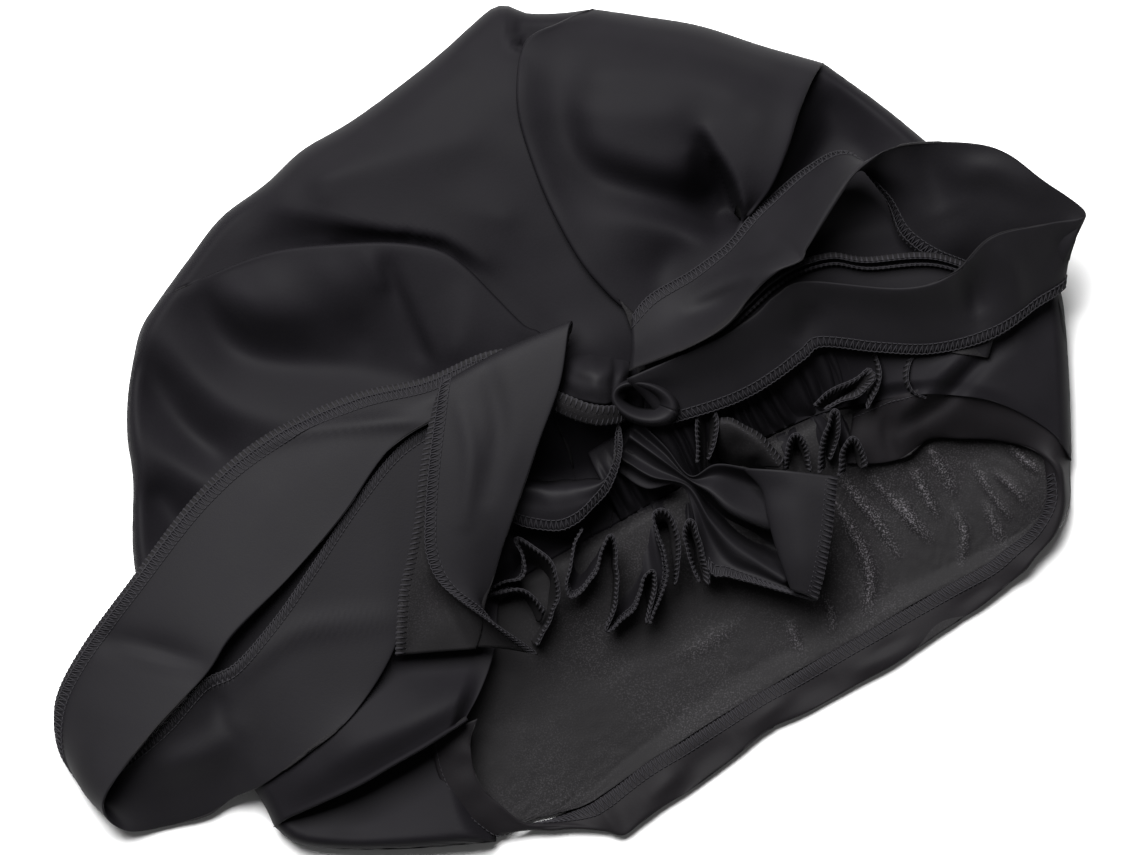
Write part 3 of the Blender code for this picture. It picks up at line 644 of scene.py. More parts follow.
def edge_columns(relief, lap, into, high, shares):
    """Lines of the mesh beside a lap, from its hidden part to where the open panel starts."""
    over = relief.at(*(lap[:, :2] + into * CLEAR).T)
    other = relief.at(*(lap[:, :2] - into * CLEAR).T)
    step = np.abs(over - other)
    height = over - edge_fall(lap[:, :2])
    if not high:
        tuck = TUCK * smooth(step / FULL_STEP) * smooth((1 - shares) / TUCK_END)
        place = lap[:, :2] - into * tuck[:, None]
        return [np.column_stack([place, height + lap_slope(relief, lap, into)])]
    lip = np.minimum(LIP, step * LIP_SHARE) * smooth((1 - shares) / LIP_END)
    return [np.column_stack([lap[:, :2] + into * (lip * way_in)[:, None], height - lip * drop])
            for way_in, drop in LIP_SECTION]


def lap_slope(relief, lap, into):
    """How far the cloth falls, as a negative height, from where it is read on to the lap."""
    near, next_to_it = (relief.at(*(lap[:, :2] + into * CLEAR * reach).T) for reach in (1, 2))
    return np.clip(near - next_to_it, -SLOPE_LIMIT, 0)


@functools.cache
def whole_outline():
    """Points of the outline, close together."""
    return np.vstack([line(outline, OUTLINE_STEPS) for _, _, _, _, outline in PANELS])


def edge_fall(places):
    """How far the cloth has rounded down at places near the outline."""
    gap = np.sqrt(((places[:, None] - whole_outline()) ** 2).sum(axis=-1).min(axis=1))
    return quarter_round(gap, ROUNDING) * (SHOULDER * LOFT + OUTLINE_HEIGHT * (LOFT - 1))


def film(start, end, near, far, shares):
    """Places between the four edges of a panel, as seen from above, stretched like a soap film."""
    t = shares[:, None, None]
    s = np.linspace(0, 1, len(near))[None, :, None]
    near_edge, far_edge = near[None, :, :2], far[None, :, :2]
    place = (start[:, None] * (1 - s) + end[:, None] * s + (1 - t) * near_edge + t * far_edge
             - (1 - s) * ((1 - t) * near_edge[:, :1] + t * far_edge[:, :1])
             - s * ((1 - t) * near_edge[:, -1:] + t * far_edge[:, -1:]))
    back, ahead = t[1:-1] - t[:-2], t[2:] - t[1:-1]
    pull = 2 / (back + ahead)
    beside_pull = float(len(near) - 1) ** 2
    total = pull / back + pull / ahead + 2 * beside_pull
    for _ in range(FILM_ROUNDS):
        place[1:-1, 1:-1] = (place[:-2, 1:-1] * pull / back + place[2:, 1:-1] * pull / ahead
                             + (place[1:-1, :-2] + place[1:-1, 2:]) * beside_pull) / total
    return place


def panel_columns(relief, start, end, near, far, shares, laps):
    """Lines of the mesh of one panel, with their heights."""
    place = film(start, end, near, far, shares)
    made = []
    for k in range(len(near)):
        column = place[:, k]
        read = column.copy()
        slope = np.zeros(len(column))
        for lap, into in laps:
            apart = np.linalg.norm(read[:, None] - lap[:, :2], axis=-1)
            nearest = apart.argmin(axis=1)
            away = ((read - lap[nearest, :2]) * into[nearest]).sum(axis=1)
            near_lap = np.maximum(0, CLEAR - away) * (apart.min(axis=1) < LAP_REACH)
            read += into[nearest] * near_lap[:, None]
            slope += lap_slope(relief, lap, into)[nearest] * np.clip(near_lap / CLEAR, 0, 1)
        height = relief.at(read[:, 0], read[:, 1]) + slope - edge_fall(column)
        blend = smooth(np.linalg.norm(column - column[0], axis=1) / START_BLEND)
        made.append(np.column_stack([column, near[k, 2] * (1 - blend) + height * blend]))
    return made


def underside(upper):
    """The cloth rounds the outline and goes a little way under the bag."""
    outline = upper[-1]
    inward = unit(upper[-UNDER_TURN, :, :2] - outline[:, :2])
    rows = []
    for share in UNDER_SHARES:
        place = outline[:, :2] + inward * UNDER_WIDTH * share
        rows.append(np.column_stack([place, outline[:, 2] * quarter_round(UNDER_WIDTH * share, ROUNDING)]))
    return np.array(rows)


# ---------------------------------------------------------------------------------------------
# Ties: single strips with both long edges overlocked, folded lengthwise
# ---------------------------------------------------------------------------------------------
TIE_WALL = 0.32
STRIP_STEPS = 10  # of a folded strip's mesh between two rows, along and across
FOLD_START = 2.0  # distance from a clean fold at which its rounding starts
FOLD_OPEN = 0.3  # share of the layers' gap by which each stands off there

# Rails. Columns: clean folded edge (x, y, z), overlocked edge (x, y, z)
LOOP_LEFT = (
    ((-6, 17, 35), (-7, 27, 34)),
    ((-28, 11, 34), (-30, 25, 31)),
    ((-48, 3, 34), (-52, 16, 29)),
    ((-66, -9, 34), (-78, 10, 27)),
    ((-83, -32, 33), (-108, -4, 25)),
    ((-102, -54, 32), (-133, -25, 23)),
    ((-122, -74, 31), (-158, -57, 19)),
    ((-132, -89, 30), (-175, -80, 13)),
    ((-151, -110, 28), (-184.5, -98, 8)),
    ((-166, -129, 24), (-185.5, -112, 5)),
    ((-168, -139, 17), (-181, -123, 2.4)),
    ((-160, -145.5, 8), (-171, -127, 7)),
    ((-147, -144, 3.5), (-156, -117, 15)),
    ((-131, -139.5, 4.5), (-144.5, -107, 21)),
    ((-122, -133, 9), (-131.5, -93, 24)),
    ((-111, -128, 17), (-120, -87, 24)),
    ((-96, -117.5, 24), (-105, -70, 25)),
    ((-80, -104, 26), (-92, -51, 27)),
    ((-66, -83, 27), (-76, -27, 28)),
    ((-56, -58, 27), (-60, -8, 28)),
    ((-38, -26, 27), (-42, 2, 28)),
    ((-12, 0, 28), (-14, 14, 29)),
)
LOOP_LEFT_CREASES = (
    (1.8, 3.0, (-118, -9), (-104, -3), (-86, 0.5), (-66, 2), (-50, 2)),
    (1.3, 4.2, (-118, -88), (-106, -78), (-96, -72.5), (-80, -70), (-64, -69)),
    (-2.2, 5.0, (-170, -76), (-150, -80), (-134, -86)),
    (1.2, 2.4, (-135, -87), (-148, -84), (-162, -80)),
    (-1.6, 4.0, (-132, -94), (-128, -99), (-126, -106)),
    (3.5, 7.0, (-150, -124), (-140, -121), (-130, -117), (-122, -110)),
)
LOOP_RIGHT = (
    ((21, 20, 38), (23, 37, 28.5)),
    ((41, 28, 47), (30.5, 46, 29)),
    ((55.5, 36.5, 52), (44.5, 54, 30)),
    ((64.5, 47.5, 55), (53.5, 60.5, 30)),
    ((73.5, 55.5, 57), (59.5, 66.5, 29.5)),
    ((81.8, 59.5, 58.5), (65.5, 73.5, 29)),
    ((84.6, 65, 59.5), (72, 80, 28.5)),
    ((94, 81, 61), (86, 91.5, 28)),
    ((104, 93.5, 60), (100, 96.5, 30)),
    ((120, 101.3, 57), (113, 82, 33)),
    ((149.5, 100.2, 53.5), (120.5, 67.5, 33.5)),
    ((168, 88.8, 48.5), (140, 57.5, 31)),
    ((184.5, 76.8, 43), (176, 54, 25)),
    ((171, 73, 45), (165, 44, 26)),
    ((151, 68, 46), (150, 34, 27)),
    ((137, 55, 46), (130, 29, 28)),
    ((119, 50, 46), (110, 29.5, 29)),
    ((85, 52.3, 46), (90, 31.5, 29)),
    ((73.5, 47.5, 45), (82.5, 26.5, 28.5)),
    ((65.8, 40.3, 44), (73.5, 19.7, 28)),
    ((54.5, 33, 43), (64, 13.5, 27.5)),
    ((43, 27.5, 42), (54, 9.2, 27)),
    ((20, 17.5, 38), (33, 3, 26)),
)
LOOP_RIGHT_CREASES = (
    (3.5, 4.0, (44, 46), (58, 53), (72, 57), (82, 60)),
    (-4.0, 6.0, (40, 40), (54, 45), (66, 51)),
    (-3.0, 6.0, (88, 44), (84, 38), (80, 30)),
    (2.5, 4.0, (184, 75), (180, 64), (175, 54)),
    (-5.0, 5.0, (140, 58), (144, 50), (146, 40)),
    (2.5, 4.0, (152, 66), (158, 57), (161, 46)),
    (3.0, 5.0, (140, 92), (152, 92), (166, 86)),
    (-6.0, 7.0, (124, 104), (129, 92), (135, 78)),
)
TIE_LEFT = (
    ((-4, 21, 31), (-36, 7, 31)),
    ((0, 36, 34), (-45, 15.5, 33.5)),
    ((-1.5, 35, 38.5), (-47, 14, 37)),
    ((-4.5, 16, 40.5), (-49, 2, 38.5)),
    ((-12, -5, 40.5), (-51, -14, 38.5)),
    ((-17.5, -21, 38.5), (-52.3, -33, 37.5)),
    ((-23.5, -39, 35), (-51.8, -46, 37)),
    ((-29, -57, 30), (-46, -57, 37)),
    ((-33, -68, 26), (-30, -69, 36)),
    ((-37, -79, 22.5), (-12, -82, 25)),
)
# The second cut edge of the left free end
TIE_LEFT_BACK = ((-36, 8, 29), (-45, 15, 31.5), (-48, 12, 34.5), (-51, 1, 36), (-54, -14, 36.5),
                 (-56, -33, 35), (-59, -48, 32), (-61.5, -58, 29.5), (-62.5, -70, 27), (-63, -82, 25))
TIE_LEFT_CREASES = (
    (1.4, 3.0, (-40, 10), (-36, -10), (-38, -34)),
    (-1.6, 4.0, (-30, 22), (-26, 0), (-30, -24)),
    (-2.0, 3.0, (-50, -56), (-44, -66), (-39, -77)),
)
STRAP_RIGHT = (
    ((30, 10, 28), (26, 18, 33)),
    ((44, 14, 27), (43, 25.5, 36)),
    ((60, 20, 28), (55.5, 34, 41)),
    ((70, 26, 28), (64.8, 42.5, 43.5)),
    ((78, 31, 27), (73, 50, 44.5)),
    ((87, 34, 27), (82, 55.5, 44)),
    ((98, 36, 26), (94, 58.7, 42.5)),
    ((116, 34, 25), (107, 57, 40)),
    ((134, 28, 25), (131, 58.2, 36.5)),
    ((150, 25, 24), (156, 50, 28)),
)
# The strap's second cut edge, which stands beside the first
STRAP_RIGHT_BACK = ((25, 19, 33), (41.5, 26.8, 36.5), (54, 35.2, 42.5), (63.2, 44, 46), (71.5, 51.8, 47),
                    (81.3, 57.6, 46), (93.5, 61, 44.5), (106, 59.5, 42), (131, 60.6, 38), (157, 51, 28))
STRAP_FLARE = (1.2, 0.6, 4.0)  # how far its two edges lean out, and how deep below them
# Right free end: a fan of folds from the knot through the pinch, from its top fold to its lower edge,
# and the page that is folded over it, from its top to its bottom, each row from left to right
TIE_RIGHT_FAN = (
    ((24, 3, 25), (34, -7, 25), (43, -17.4, 24), (52, -13.5, 26), (64, -15, 27), (78, -16, 26),
     (90, -18, 24)),
    ((22, 0, 20), (33, -9, 21), (43, -18.4, 22.5), (53, -17.5, 21), (65, -21, 17), (78, -23, 16),
     (90, -25, 16)),
    ((21, -3, 25), (32, -11, 26), (43, -19, 25), (50, -23, 27), (58, -29.5, 27), (70, -35.2, 23),
     (80, -38, 17)),
    ((20, -5, 20), (31, -13, 21), (42.7, -19.8, 22.5), (50, -25, 18), (58, -32, 13), (70, -37.5, 9),
     (80, -41, 9)),
    ((18.5, -8, 18), (30, -15, 19), (42.4, -20.4, 22), (50, -28, 12), (59, -36, 5), (70, -43, 4),
     (80, -48, 6)),
    ((18, -11, 24), (29, -17.5, 25), (42, -21, 24.5), (50, -33, 23), (58, -41.5, 21), (67, -47.5, 20),
     (78, -54.5, 19)),
    ((17.5, -13, 19), (28, -19.3, 20), (41.5, -21.6, 23), (49.5, -39, 16), (57, -48.5, 15), (67, -53, 16),
     (78, -57.5, 17)),
    ((17, -16, 18), (27, -22, 19), (41, -22.4, 22), (49, -50.5, 18), (57, -54, 18), (71, -57.8, 18.5),
     (88, -62, 20)),
)
TIE_RIGHT_PAGE = (
    ((68, -16.6, 21), (62, -14.6, 25.5), (76, -15.4, 31.5), (95.8, -17.6, 30)),
    ((74, -24, 20), (68.5, -22, 25.5), (80, -22, 31), (95, -26, 30)),
    ((75.5, -32, 18), (70.5, -31, 25.5), (80, -31, 30), (94, -36, 29)),
    ((77, -41, 17), (72.8, -40, 25), (81, -41, 29), (92.5, -45, 28)),
    ((79.5, -50, 17), (76, -50, 24), (82.5, -50.5, 27.5), (90.8, -54, 26)),
    ((81, -57, 17), (79, -58.5, 22), (84, -60, 24), (88.5, -62.3, 23)),
)
BASE_CURL = (26.5, 8.8, -0.28)  # middle and turn of the curl at the foot of the right loop
# Rings of the curl. Columns: half length, half width, height
CURL_RINGS = ((13.2, 8.2, 27), (12.8, 7.8, 32), (12.0, 7.2, 35), (10.8, 6.3, 36), (9.4, 5.2, 35.2),
              (8.0, 4.2, 33), (6.8, 3.4, 29), (6.0, 2.8, 22))
CURL_POINTS = 49  # round each ring
CURL_STEPS = 5  # between two rings
CURL_DRIFT = (-0.3, 0.12)  # way of a ring's middle along and across for each mm that it is shorter
CURL_TILT = (1.5, 2.0)  # height of the higher side, and the angle where it is
# Steps along and across of the right end's fan and page, and of the knot's wrap and hem
FAN_STEPS = (9, 6)
PAGE_STEPS = (8, 8)
WRAP_STEPS = (8, 6)
HEM_STEPS = (6, 6)
FAN_HIDDEN = 27  # points of the fan's lower edge without overlock, from the knot on


def folded(rails, back=None, bow=0.0, gap=0.0, stagger=0.0, flare=None):
    """A folded strip: overlocked edge, outer layer, clean fold, inner layer, overlocked edge.

    Its layers bow outwards and lie a gap apart. A second edge without a line of its own lies
    behind the first, staggered out beyond it. A flare leans both edges out.
    """
    clean, edge = matched([[row[k] for row in rails] for k in (0, 1)], STRIP_STEPS)
    width = unit(clean - edge)
    normal = unit(np.cross(np.gradient((clean + edge) / 2, axis=0), width))
    middle = (clean + edge) / 2 + normal * bow
    if back is None:
        back = edge - normal * gap - width * stagger
    else:
        back = line(back, STRIP_STEPS)
    inner = (clean + back) / 2 + normal * (bow - gap)
    tuck = clean - width * FOLD_START
    open_by = normal * gap * FOLD_OPEN
    lines = [edge, middle, tuck + open_by, clean, tuck - open_by, inner, back]
    if flare:
        near, far, down = flare
        lean = unit((clean - edge)[:, :2] @ np.eye(2, 3))
        lines[1:1] = [edge + lean * near - (0, 0, down)]
        lines[-1:-1] = [back - lean * far - (0, 0, down)]
    return patch(lines, STRIP_STEPS)


def tie(name, points, node, flat, ground, *extra):
    """The cloth of one tie with its overlocked edges, for the next ones to lie on."""
    piece = dressed(cloth(name, [points, *extra], TIE_WALL, "satin"), "satin", node)
    stitches = overlock(name, [points, points[::-1, ::-1]])
    ground.add(points)


def curl():
    """The strip's fold curls open at the foot of the right loop."""
    x, y, turn = BASE_CURL
    height_of_side, side = CURL_TILT
    angle = np.linspace(0, 2 * math.pi, CURL_POINTS)
    rings = []
    for half_length, half_width, height in CURL_RINGS:
        shorter = CURL_RINGS[0][0] - half_length
        u = half_length * np.cos(angle) + shorter * CURL_DRIFT[0]
        v = half_width * np.sin(angle) + shorter * CURL_DRIFT[1]
        rings.append(np.column_stack([x + u * math.cos(turn) - v * math.sin(turn),
                                      y + u * math.sin(turn) + v * math.cos(turn),
                                      height + height_of_side * np.cos(angle - side)]))
    return patch(rings, CURL_STEPS)


# ---------------------------------------------------------------------------------------------
# Nape ruffle: flounces between lines, from where they are gathered to their overlocked edge
# ---------------------------------------------------------------------------------------------
FRILL_WALL = 0.32
FLOUNCES = {
    "left_pocket": (
        ((-29, -58, 5.5), (-24, -57, 5.5), (-18, -54, 5.5), (-14, -52, 5.5)),
        ((-31, -60, 7), (-25, -56, 6), (-20, -51, 6), (-12, -50, 6), (-8.5, -56, 5), (-10, -66, 4),
         (-14, -75, 4)),
        ((-34, -62, 18), (-25, -56, 21), (-18, -54, 22), (-17.5, -47, 23), (-20, -40, 22.5),
         (-15, -42.5, 24), (-8, -47, 25), (-5, -54, 24.5), (-5, -62, 22), (-8, -70, 18), (-12, -79, 14)),
    ),
    "inner_pocket": (
        ((-27, -66, 4.6), (-22, -60, 5), (-16, -60, 5)),
        ((-30, -61, 11.5), (-22, -58, 15.5), (-14, -62, 12.5), (-12, -70, 9.5)),
        ((-33, -62, 16), (-26, -60, 19), (-20, -58.5, 21), (-14, -60, 20), (-9, -66, 17)),
    ),
    "big_wave": (
        ((-26, -20.5, 5), (-15, -19, 5), (-5, -19.5, 5), (5, -18.5, 5), (13, -18, 5), (19, -8, 6),
         (20, 3, 8)),
        ((-26, -22, 24), (-15, -20.5, 26), (-5, -21.5, 27), (5, -20.5, 27), (12.5, -18.5, 27),
         (16.5, -8, 27), (17, 3, 27)),
        ((-25, -27, 25), (-15, -28, 26.5), (-5, -29, 28), (3, -27, 28), (10, -23, 28), (17, -8, 28.5),
         (17.5, 4, 28)),
        ((-25, -32, 22), (-15, -36, 23.5), (-5, -37, 24.5), (2, -34.5, 25), (8, -29, 26), (14, -22, 27),
         (18, -10, 28), (17.5, 4, 28)),
    ),
    "fan": (
        ((0, -42, 5), (6, -40, 5), (12, -37, 5), (18, -34, 5), (24, -30, 5)),
        ((3, -38, 10), (1, -50, 9), (4, -53, 8), (12, -42, 9), (15, -52, 6), (15, -64, 5),
         (22, -58, 6), (26, -50, 6), (28, -60, 5)),
        ((4, -36, 22), (1, -42, 23), (0, -50, 22.5), (-1, -58, 20), (0, -61.5, 19), (5, -58, 20),
         (9, -52, 21.5), (11, -45, 23), (14.5, -39, 24), (17, -50, 22.5), (17, -58, 20), (16, -65, 16.5),
         (13, -73.5, 13), (18, -70, 14.5), (22, -66, 16.5), (25, -60, 19), (27, -54, 21), (30, -52, 21.5),
         (30, -60, 18), (27, -71, 12.5)),
    ),
    "tall_fold": (
        ((24, -30, 5), (28, -27, 5), (33, -25, 5), (38, -23, 5)),
        ((28, -66, 8.5), (32, -50, 13.5), (30, -36, 14.5), (35, -34, 14.5), (37, -46, 13.5),
         (38, -54, 10.5)),
        ((28, -71, 13), (33, -60, 17.5), (34.5, -52, 20.5), (33, -43, 23), (30, -32, 24.5),
         (33, -29.5, 25), (36.5, -33, 24), (38.5, -40, 23), (39, -48, 20.5), (38, -57, 16.5)),
    ),
    "narrow_fold": (
        ((38, -23, 5), (42, -21, 5), (46, -19, 5)),
        ((44, -50, 10.5), (42, -38, 14.5), (44, -38, 14.5), (47, -50, 11.5)),
        ((46.5, -56, 15.5), (43, -47, 19.5), (40.5, -38, 22.5), (42, -33, 23.5), (45, -34.5, 23),
         (46.5, -42, 21.5), (49, -50, 18), (50, -57, 15)),
    ),
    "loop_above_pinch": (
        ((46, -18, 5.9), (49, -16, 5.9), (52, -15, 5.9)),
        ((46.5, -12, 15.5), (47, -2, 16.5), (49, 2, 16.5), (50.5, -5, 15.5), (49.5, -12, 14.5)),
        ((46, -13, 22), (45.5, -3, 25), (45.5, 6, 26), (49, 10, 26), (52.5, 5, 26), (52, -4, 25),
         (49.5, -12, 22)),
    ),
    "lit_facet": (
        ((52, -12, 6.3), (58, -14, 6.3), (66, -16, 6.3), (72, -17, 6.3)),
        ((53, -6, 16.5), (58, -7, 18), (64, -10, 17.5), (70, -14, 15.5)),
        ((53.5, 1, 25), (57, 1, 26), (62, -1.5, 26), (68, -6, 25), (75, -14, 21)),
        ((53.5, 3, 22), (58, 3, 23), (64, 0, 23), (70, -4, 22), (76.5, -12, 19)),
    ),
    "low_arch": (
        ((74, -3, 5.5), (78, -1, 5.5), (82, 1, 5.5), (85, 3, 5.5)),
        ((78.5, -13, 11.5), (79.5, -7, 14.5), (81.5, -5, 15.5), (83, -8, 14.5), (84.5, -13, 11.5)),
        ((77, -17, 17), (77.5, -9, 21), (79.5, -3, 23.5), (82.5, -2.5, 23.5), (85, -7, 21), (86.5, -16, 17)),
    ),
    "tall_arch": (
        ((86, 4, 5.9), (89, 5, 5.9), (92, 7, 5.9)),
        ((91, -12, 11.5), (92, -3, 16.5), (94, 3, 17.5), (95, -2, 15.5), (93, -10, 11.5)),
        ((89.5, -17, 16.5), (90, -8, 20.5), (91.5, -1, 23.5), (94, 6, 25.5), (96.5, 5, 25.5),
         (96, -3, 22.5), (93.5, -12, 17)),
    ),
    "end_arch": (
        ((93, 7, 5.9), (96, 8, 5.9), (99, 9, 5.9)),
        ((98.5, -13, 11.5), (99, -7, 14.5), (101, -5, 15.5), (103, -9, 13.5), (104, -13, 11.5)),
        ((96.5, -18, 15.5), (98, -8, 20), (101, -3.5, 22), (104.5, -6, 20.5), (107, -14, 16)),
    ),
    "curl": (
        ((95, 9, 5.9), (98, 10, 5.9), (101, 10, 5.9)),
        ((90, 8, 16.5), (97, 12, 17.5), (103, 15, 17.5), (100, 11, 15.5)),
        ((87, 8, 22), (92, 12, 24.5), (97, 15, 26), (103, 18, 27), (107, 21.5, 27), (109.5, 17.5, 26.5),
         (103, 11.5, 25), (97, 9.5, 24), (90.5, 6.5, 22)),
    ),
    "upper_loop": (
        ((101, 12, 6.7), (104, 11, 6.7), (107, 10, 6.7)),
        ((107, 25, 17.5), (108.5, 19, 16.5), (107, 12, 15.5)),
        ((108.5, 29, 24), (111, 22, 25), (110, 14, 24), (107, 6, 21)),
    ),
    "last_fold": (
        ((108, 15, 7.6), (112, 15, 7.6), (117, 13, 7.6)),
        ((118, 24, 18.5), (117, 18, 18.5), (121, 13, 17.5), (127, 12, 16.5)),
        ((126, 28, 24), (122.5, 24, 25.5), (120.5, 18, 26), (123, 13, 25), (128.5, 11, 22.5)),
    ),
}
FLOUNCE_STEP = 0.8  # millimetres along the edge
FLOUNCE_STEPS = 9  # rows between two lines


def flounce(lines):
    """One flounce from its gathered foot to its edge; the edge is the first row."""
    count = int(way_along(line(lines[-1]))[-1] / FLOUNCE_STEP)
    points = patch(stretched(lines, count)[::-1], FLOUNCE_STEPS)
    return quilted(points, seed=len(points), rounds=25, height=0.25)


# Gathered cloth above the elastic: lines from the elastic upwards
SHIRRING = (
    ((18, -34, 5), (38, -22.5, 5), (52, -13.5, 5), (74, -2, 5), (90, 5, 6), (105, 8.5, 9)),
    ((15, -28, 10), (35, -16.5, 11), (49, -8, 11), (71, 3.5, 11), (87.5, 10.5, 12), (104, 14.5, 13)),
    ((12, -22, 14), (32, -10, 16), (46, -2, 16), (68, 9.5, 16), (85, 17, 17), (102, 21, 17)),
    ((9, -16, 14), (28, -4, 19), (43, 4, 19), (65, 15.5, 20), (82, 23, 21), (99, 27.5, 20)),
    ((6, -9, 10), (25, 3, 20), (40, 12, 21), (61, 22.5, 22), (78, 30, 22), (96, 34.5, 20)),
)
GATHER = 5.0  # between two ridges
GATHER_HEIGHT = 3.6
FURROW = 0.6  # share of that height by which the furrows lie below those lines
SHIRRING_STEPS = (40, 8)
# Shift of the ridges along the elastic: height of each wave, its turn to a millimetre, and its start
UNEVEN = ((1.7, 0.21, 0), (0.9, 0.53, 1))
LEAN = (3.0, 0.11)  # a further shift that grows upwards
# Shares of the way up at which the ridges start to swell and to fade, each with its reach
SWELLING = (-0.075, 0.25)
FADING = (0.3, 0.7)


def shirring():
    """Ridges that rise from the elastic, round on top and sharp between, and fade upwards."""
    along_it, across = SHIRRING_STEPS
    points = patch(matched(SHIRRING, along_it), across)
    way = way_along(points[0])
    up = np.linspace(0, 1, len(points))[:, None]
    uneven = way + sum(shift * np.sin(way * turn + start) for shift, turn, start in UNEVEN)
    uneven = uneven + LEAN[0] * up * np.sin(way * LEAN[1])
    ridges = np.abs(np.sin(math.pi * uneven / GATHER)) - FURROW
    points[..., 2] += GATHER_HEIGHT * ridges * rise(up, *SWELLING) * (1 - rise(up, *FADING))
    return points


# ---------------------------------------------------------------------------------------------
# Front band, floor of the bag and knot
# ---------------------------------------------------------------------------------------------
BAND_WALL = 0.35
BAND_STEPS = (12, 7)  # along and across, between two rows
BAND_LEAST = 0.2  # clearance of the band's cloth over the table
# The band from its flap on the left along the floor and up round the right corner. Columns: seam on
# its outer side, rim, seam on its inner side (x, y, z)
BAND = (
    ((-50, -112, 12), (-33.5, -105, 16), (-48, -110, 8)),
    ((-50, -117, 12.5), (-36, -114, 16), (-48, -117, 8)),
    ((-47.5, -126, 12), (-35.5, -121, 15), (-46, -125, 8)),
    ((-42, -136, 10.5), (-31.5, -129.5, 13), (-41, -134, 7)),
    ((-34, -144.5, 8), (-25, -136.5, 11), (-34, -142, 5)),
    ((-27, -148.5, 5.5), (-17, -143, 8), (-27, -146, 3.5)),
    ((-16, -145, 1.5), (-8, -144.3, 6), (-18, -144, 3)),
    ((-5, -140, 0.6), (2, -144.2, 5), (-6, -140.5, 3)),
    ((6, -136, 0.6), (12, -145.5, 4), (6, -136.5, 3)),
    ((12, -132, 0.6), (19, -147, 4), (11, -133.5, 3)),
    ((19, -128, 0.6), (25, -142, 4), (18, -128, 3)),
    ((27, -122, 0.6), (34, -136.5, 4), (27, -121.5, 3)),
    ((38, -115, 0.6), (46, -129, 4), (38, -114.5, 3)),
    ((52, -106, 0.6), (60, -118.5, 4), (52, -105.5, 3)),
    ((66, -97, 0.6), (73, -108.5, 4), (66, -97, 3)),
    ((79, -89.5, 0.6), (88, -101, 4), (79, -89.5, 3)),
    ((93, -81.5, 0.6), (102, -93, 4), (93, -81.5, 3)),
    ((108, -73, 0.6), (118, -84.5, 4), (108, -73, 3)),
    ((124, -63.5, 0.6), (134, -74, 4), (124, -63.5, 3)),
    ((138, -56, 0.8), (148, -64.5, 4.5), (138, -56, 3.5)),
    ((150, -49.5, 1.2), (159, -56, 6), (150, -49.5, 4.5)),
    ((161, -45, 1), (166, -48, 8.5), (158, -43.5, 5.5)),
    ((173, -38, 1.2), (173.5, -39.5, 11), (166, -36.5, 7.5)),
    ((180, -26, 1.2), (177, -28, 13), (171, -28, 9.5)),
    ((180.6, -13, 3), (175.5, -16, 15.5), (171.5, -18, 11)),
    ((177.5, 1, 14.5), (169, -9.5, 14.5), (168, -6, 11)),
    ((161.5, 8.5, 20.3), (156, -5.5, 9.5), (158, 0, 8)),
    ((145.5, 14, 23.2), (141, -3.4, 8.5), (144, 3, 7)),
    ((131.5, 15.5, 23.6), (129.5, -4.5, 8.5), (130, 4, 7)),
    ((121, 12.5, 21.5), (123, -10, 8.5), (121, 2, 7)),
    ((111.5, 9.5, 16.5), (113, -12.8, 8.5), (112, 0, 7)),
    ((102, 5, 9), (99, -13, 9), (103, -2, 7)),
)
BAND_BULGE = 1.0
RIM_START = 0.22  # share of the way to the face's middle at which the rim starts to round
RIM_BULGE = 0.5  # share of the face's bulge there
# Where the band's outer seam is top stitched, in shares of its length from the flap, and where its
# inner seam shows, from the other end
TOP_STITCHED = ((0.0, 0.16), (0.80, 1.0))
INNER_SEAM = (0.22, 0.86)
INNER_SEAM_WIDTH = 4.5
TOP_STITCH_WIDTH = 2.0
BAND_PUCKERS = (
    (-1.8, 5.0, (78, -100), (86, -95), (96, -90)),
    (-1.8, 2.6, (116, 8), (114, -2), (117, -12)),
    (-1.6, 5.0, (42, -124), (50, -118), (58, -113)),
    (-1.2, 3.0, (140, -64), (146, -60), (152, -56)),
    (-1.2, 3.0, (108, -84), (114, -80), (120, -77)),
    (1.0, 3.0, (28, -134), (34, -129), (40, -124)),
    (1.0, 3.0, (64, -108), (72, -102), (78, -98)),
    (0.9, 2.5, (104, -88), (112, -83), (122, -78)),
)
# Folds that run from the crown across its seam into the band, at the right of the nape
NAPE_FOLDS = (
    (-3.2, 3.2, (158, 32), (148, 24.5), (140, 16), (134, 9.5), (127, 4.5), (118, -0.5)),
    (2.0, 3.0, (142, 27), (133, 18), (126, 11), (117, 5)),
)
# Where the floor of the bag is sewn to the band, from left to right
FLOOR_SEAM = ((-26, -146), (-14, -141.5), (-5, -139.5), (7, -135.5),
              *(inner[:2] for _, _, inner in BAND[10:21]),
              (160, -43.5), (168, -36), (173, -26), (176, -16))
FLOOR_REACH = 5.0  # from the outline to where the floor ends above the cloth that turns under
FLOOR_HEIGHT = 0.9
FLOOR_LEAST = 0.6  # share of that height below which no wrinkle sinks
FLOOR_POINTS = 330  # along the seam
FLOOR_ROWS = 120  # from the seam to the outline
FLOOR_CROWDING = 1.5  # of its rows at the seam
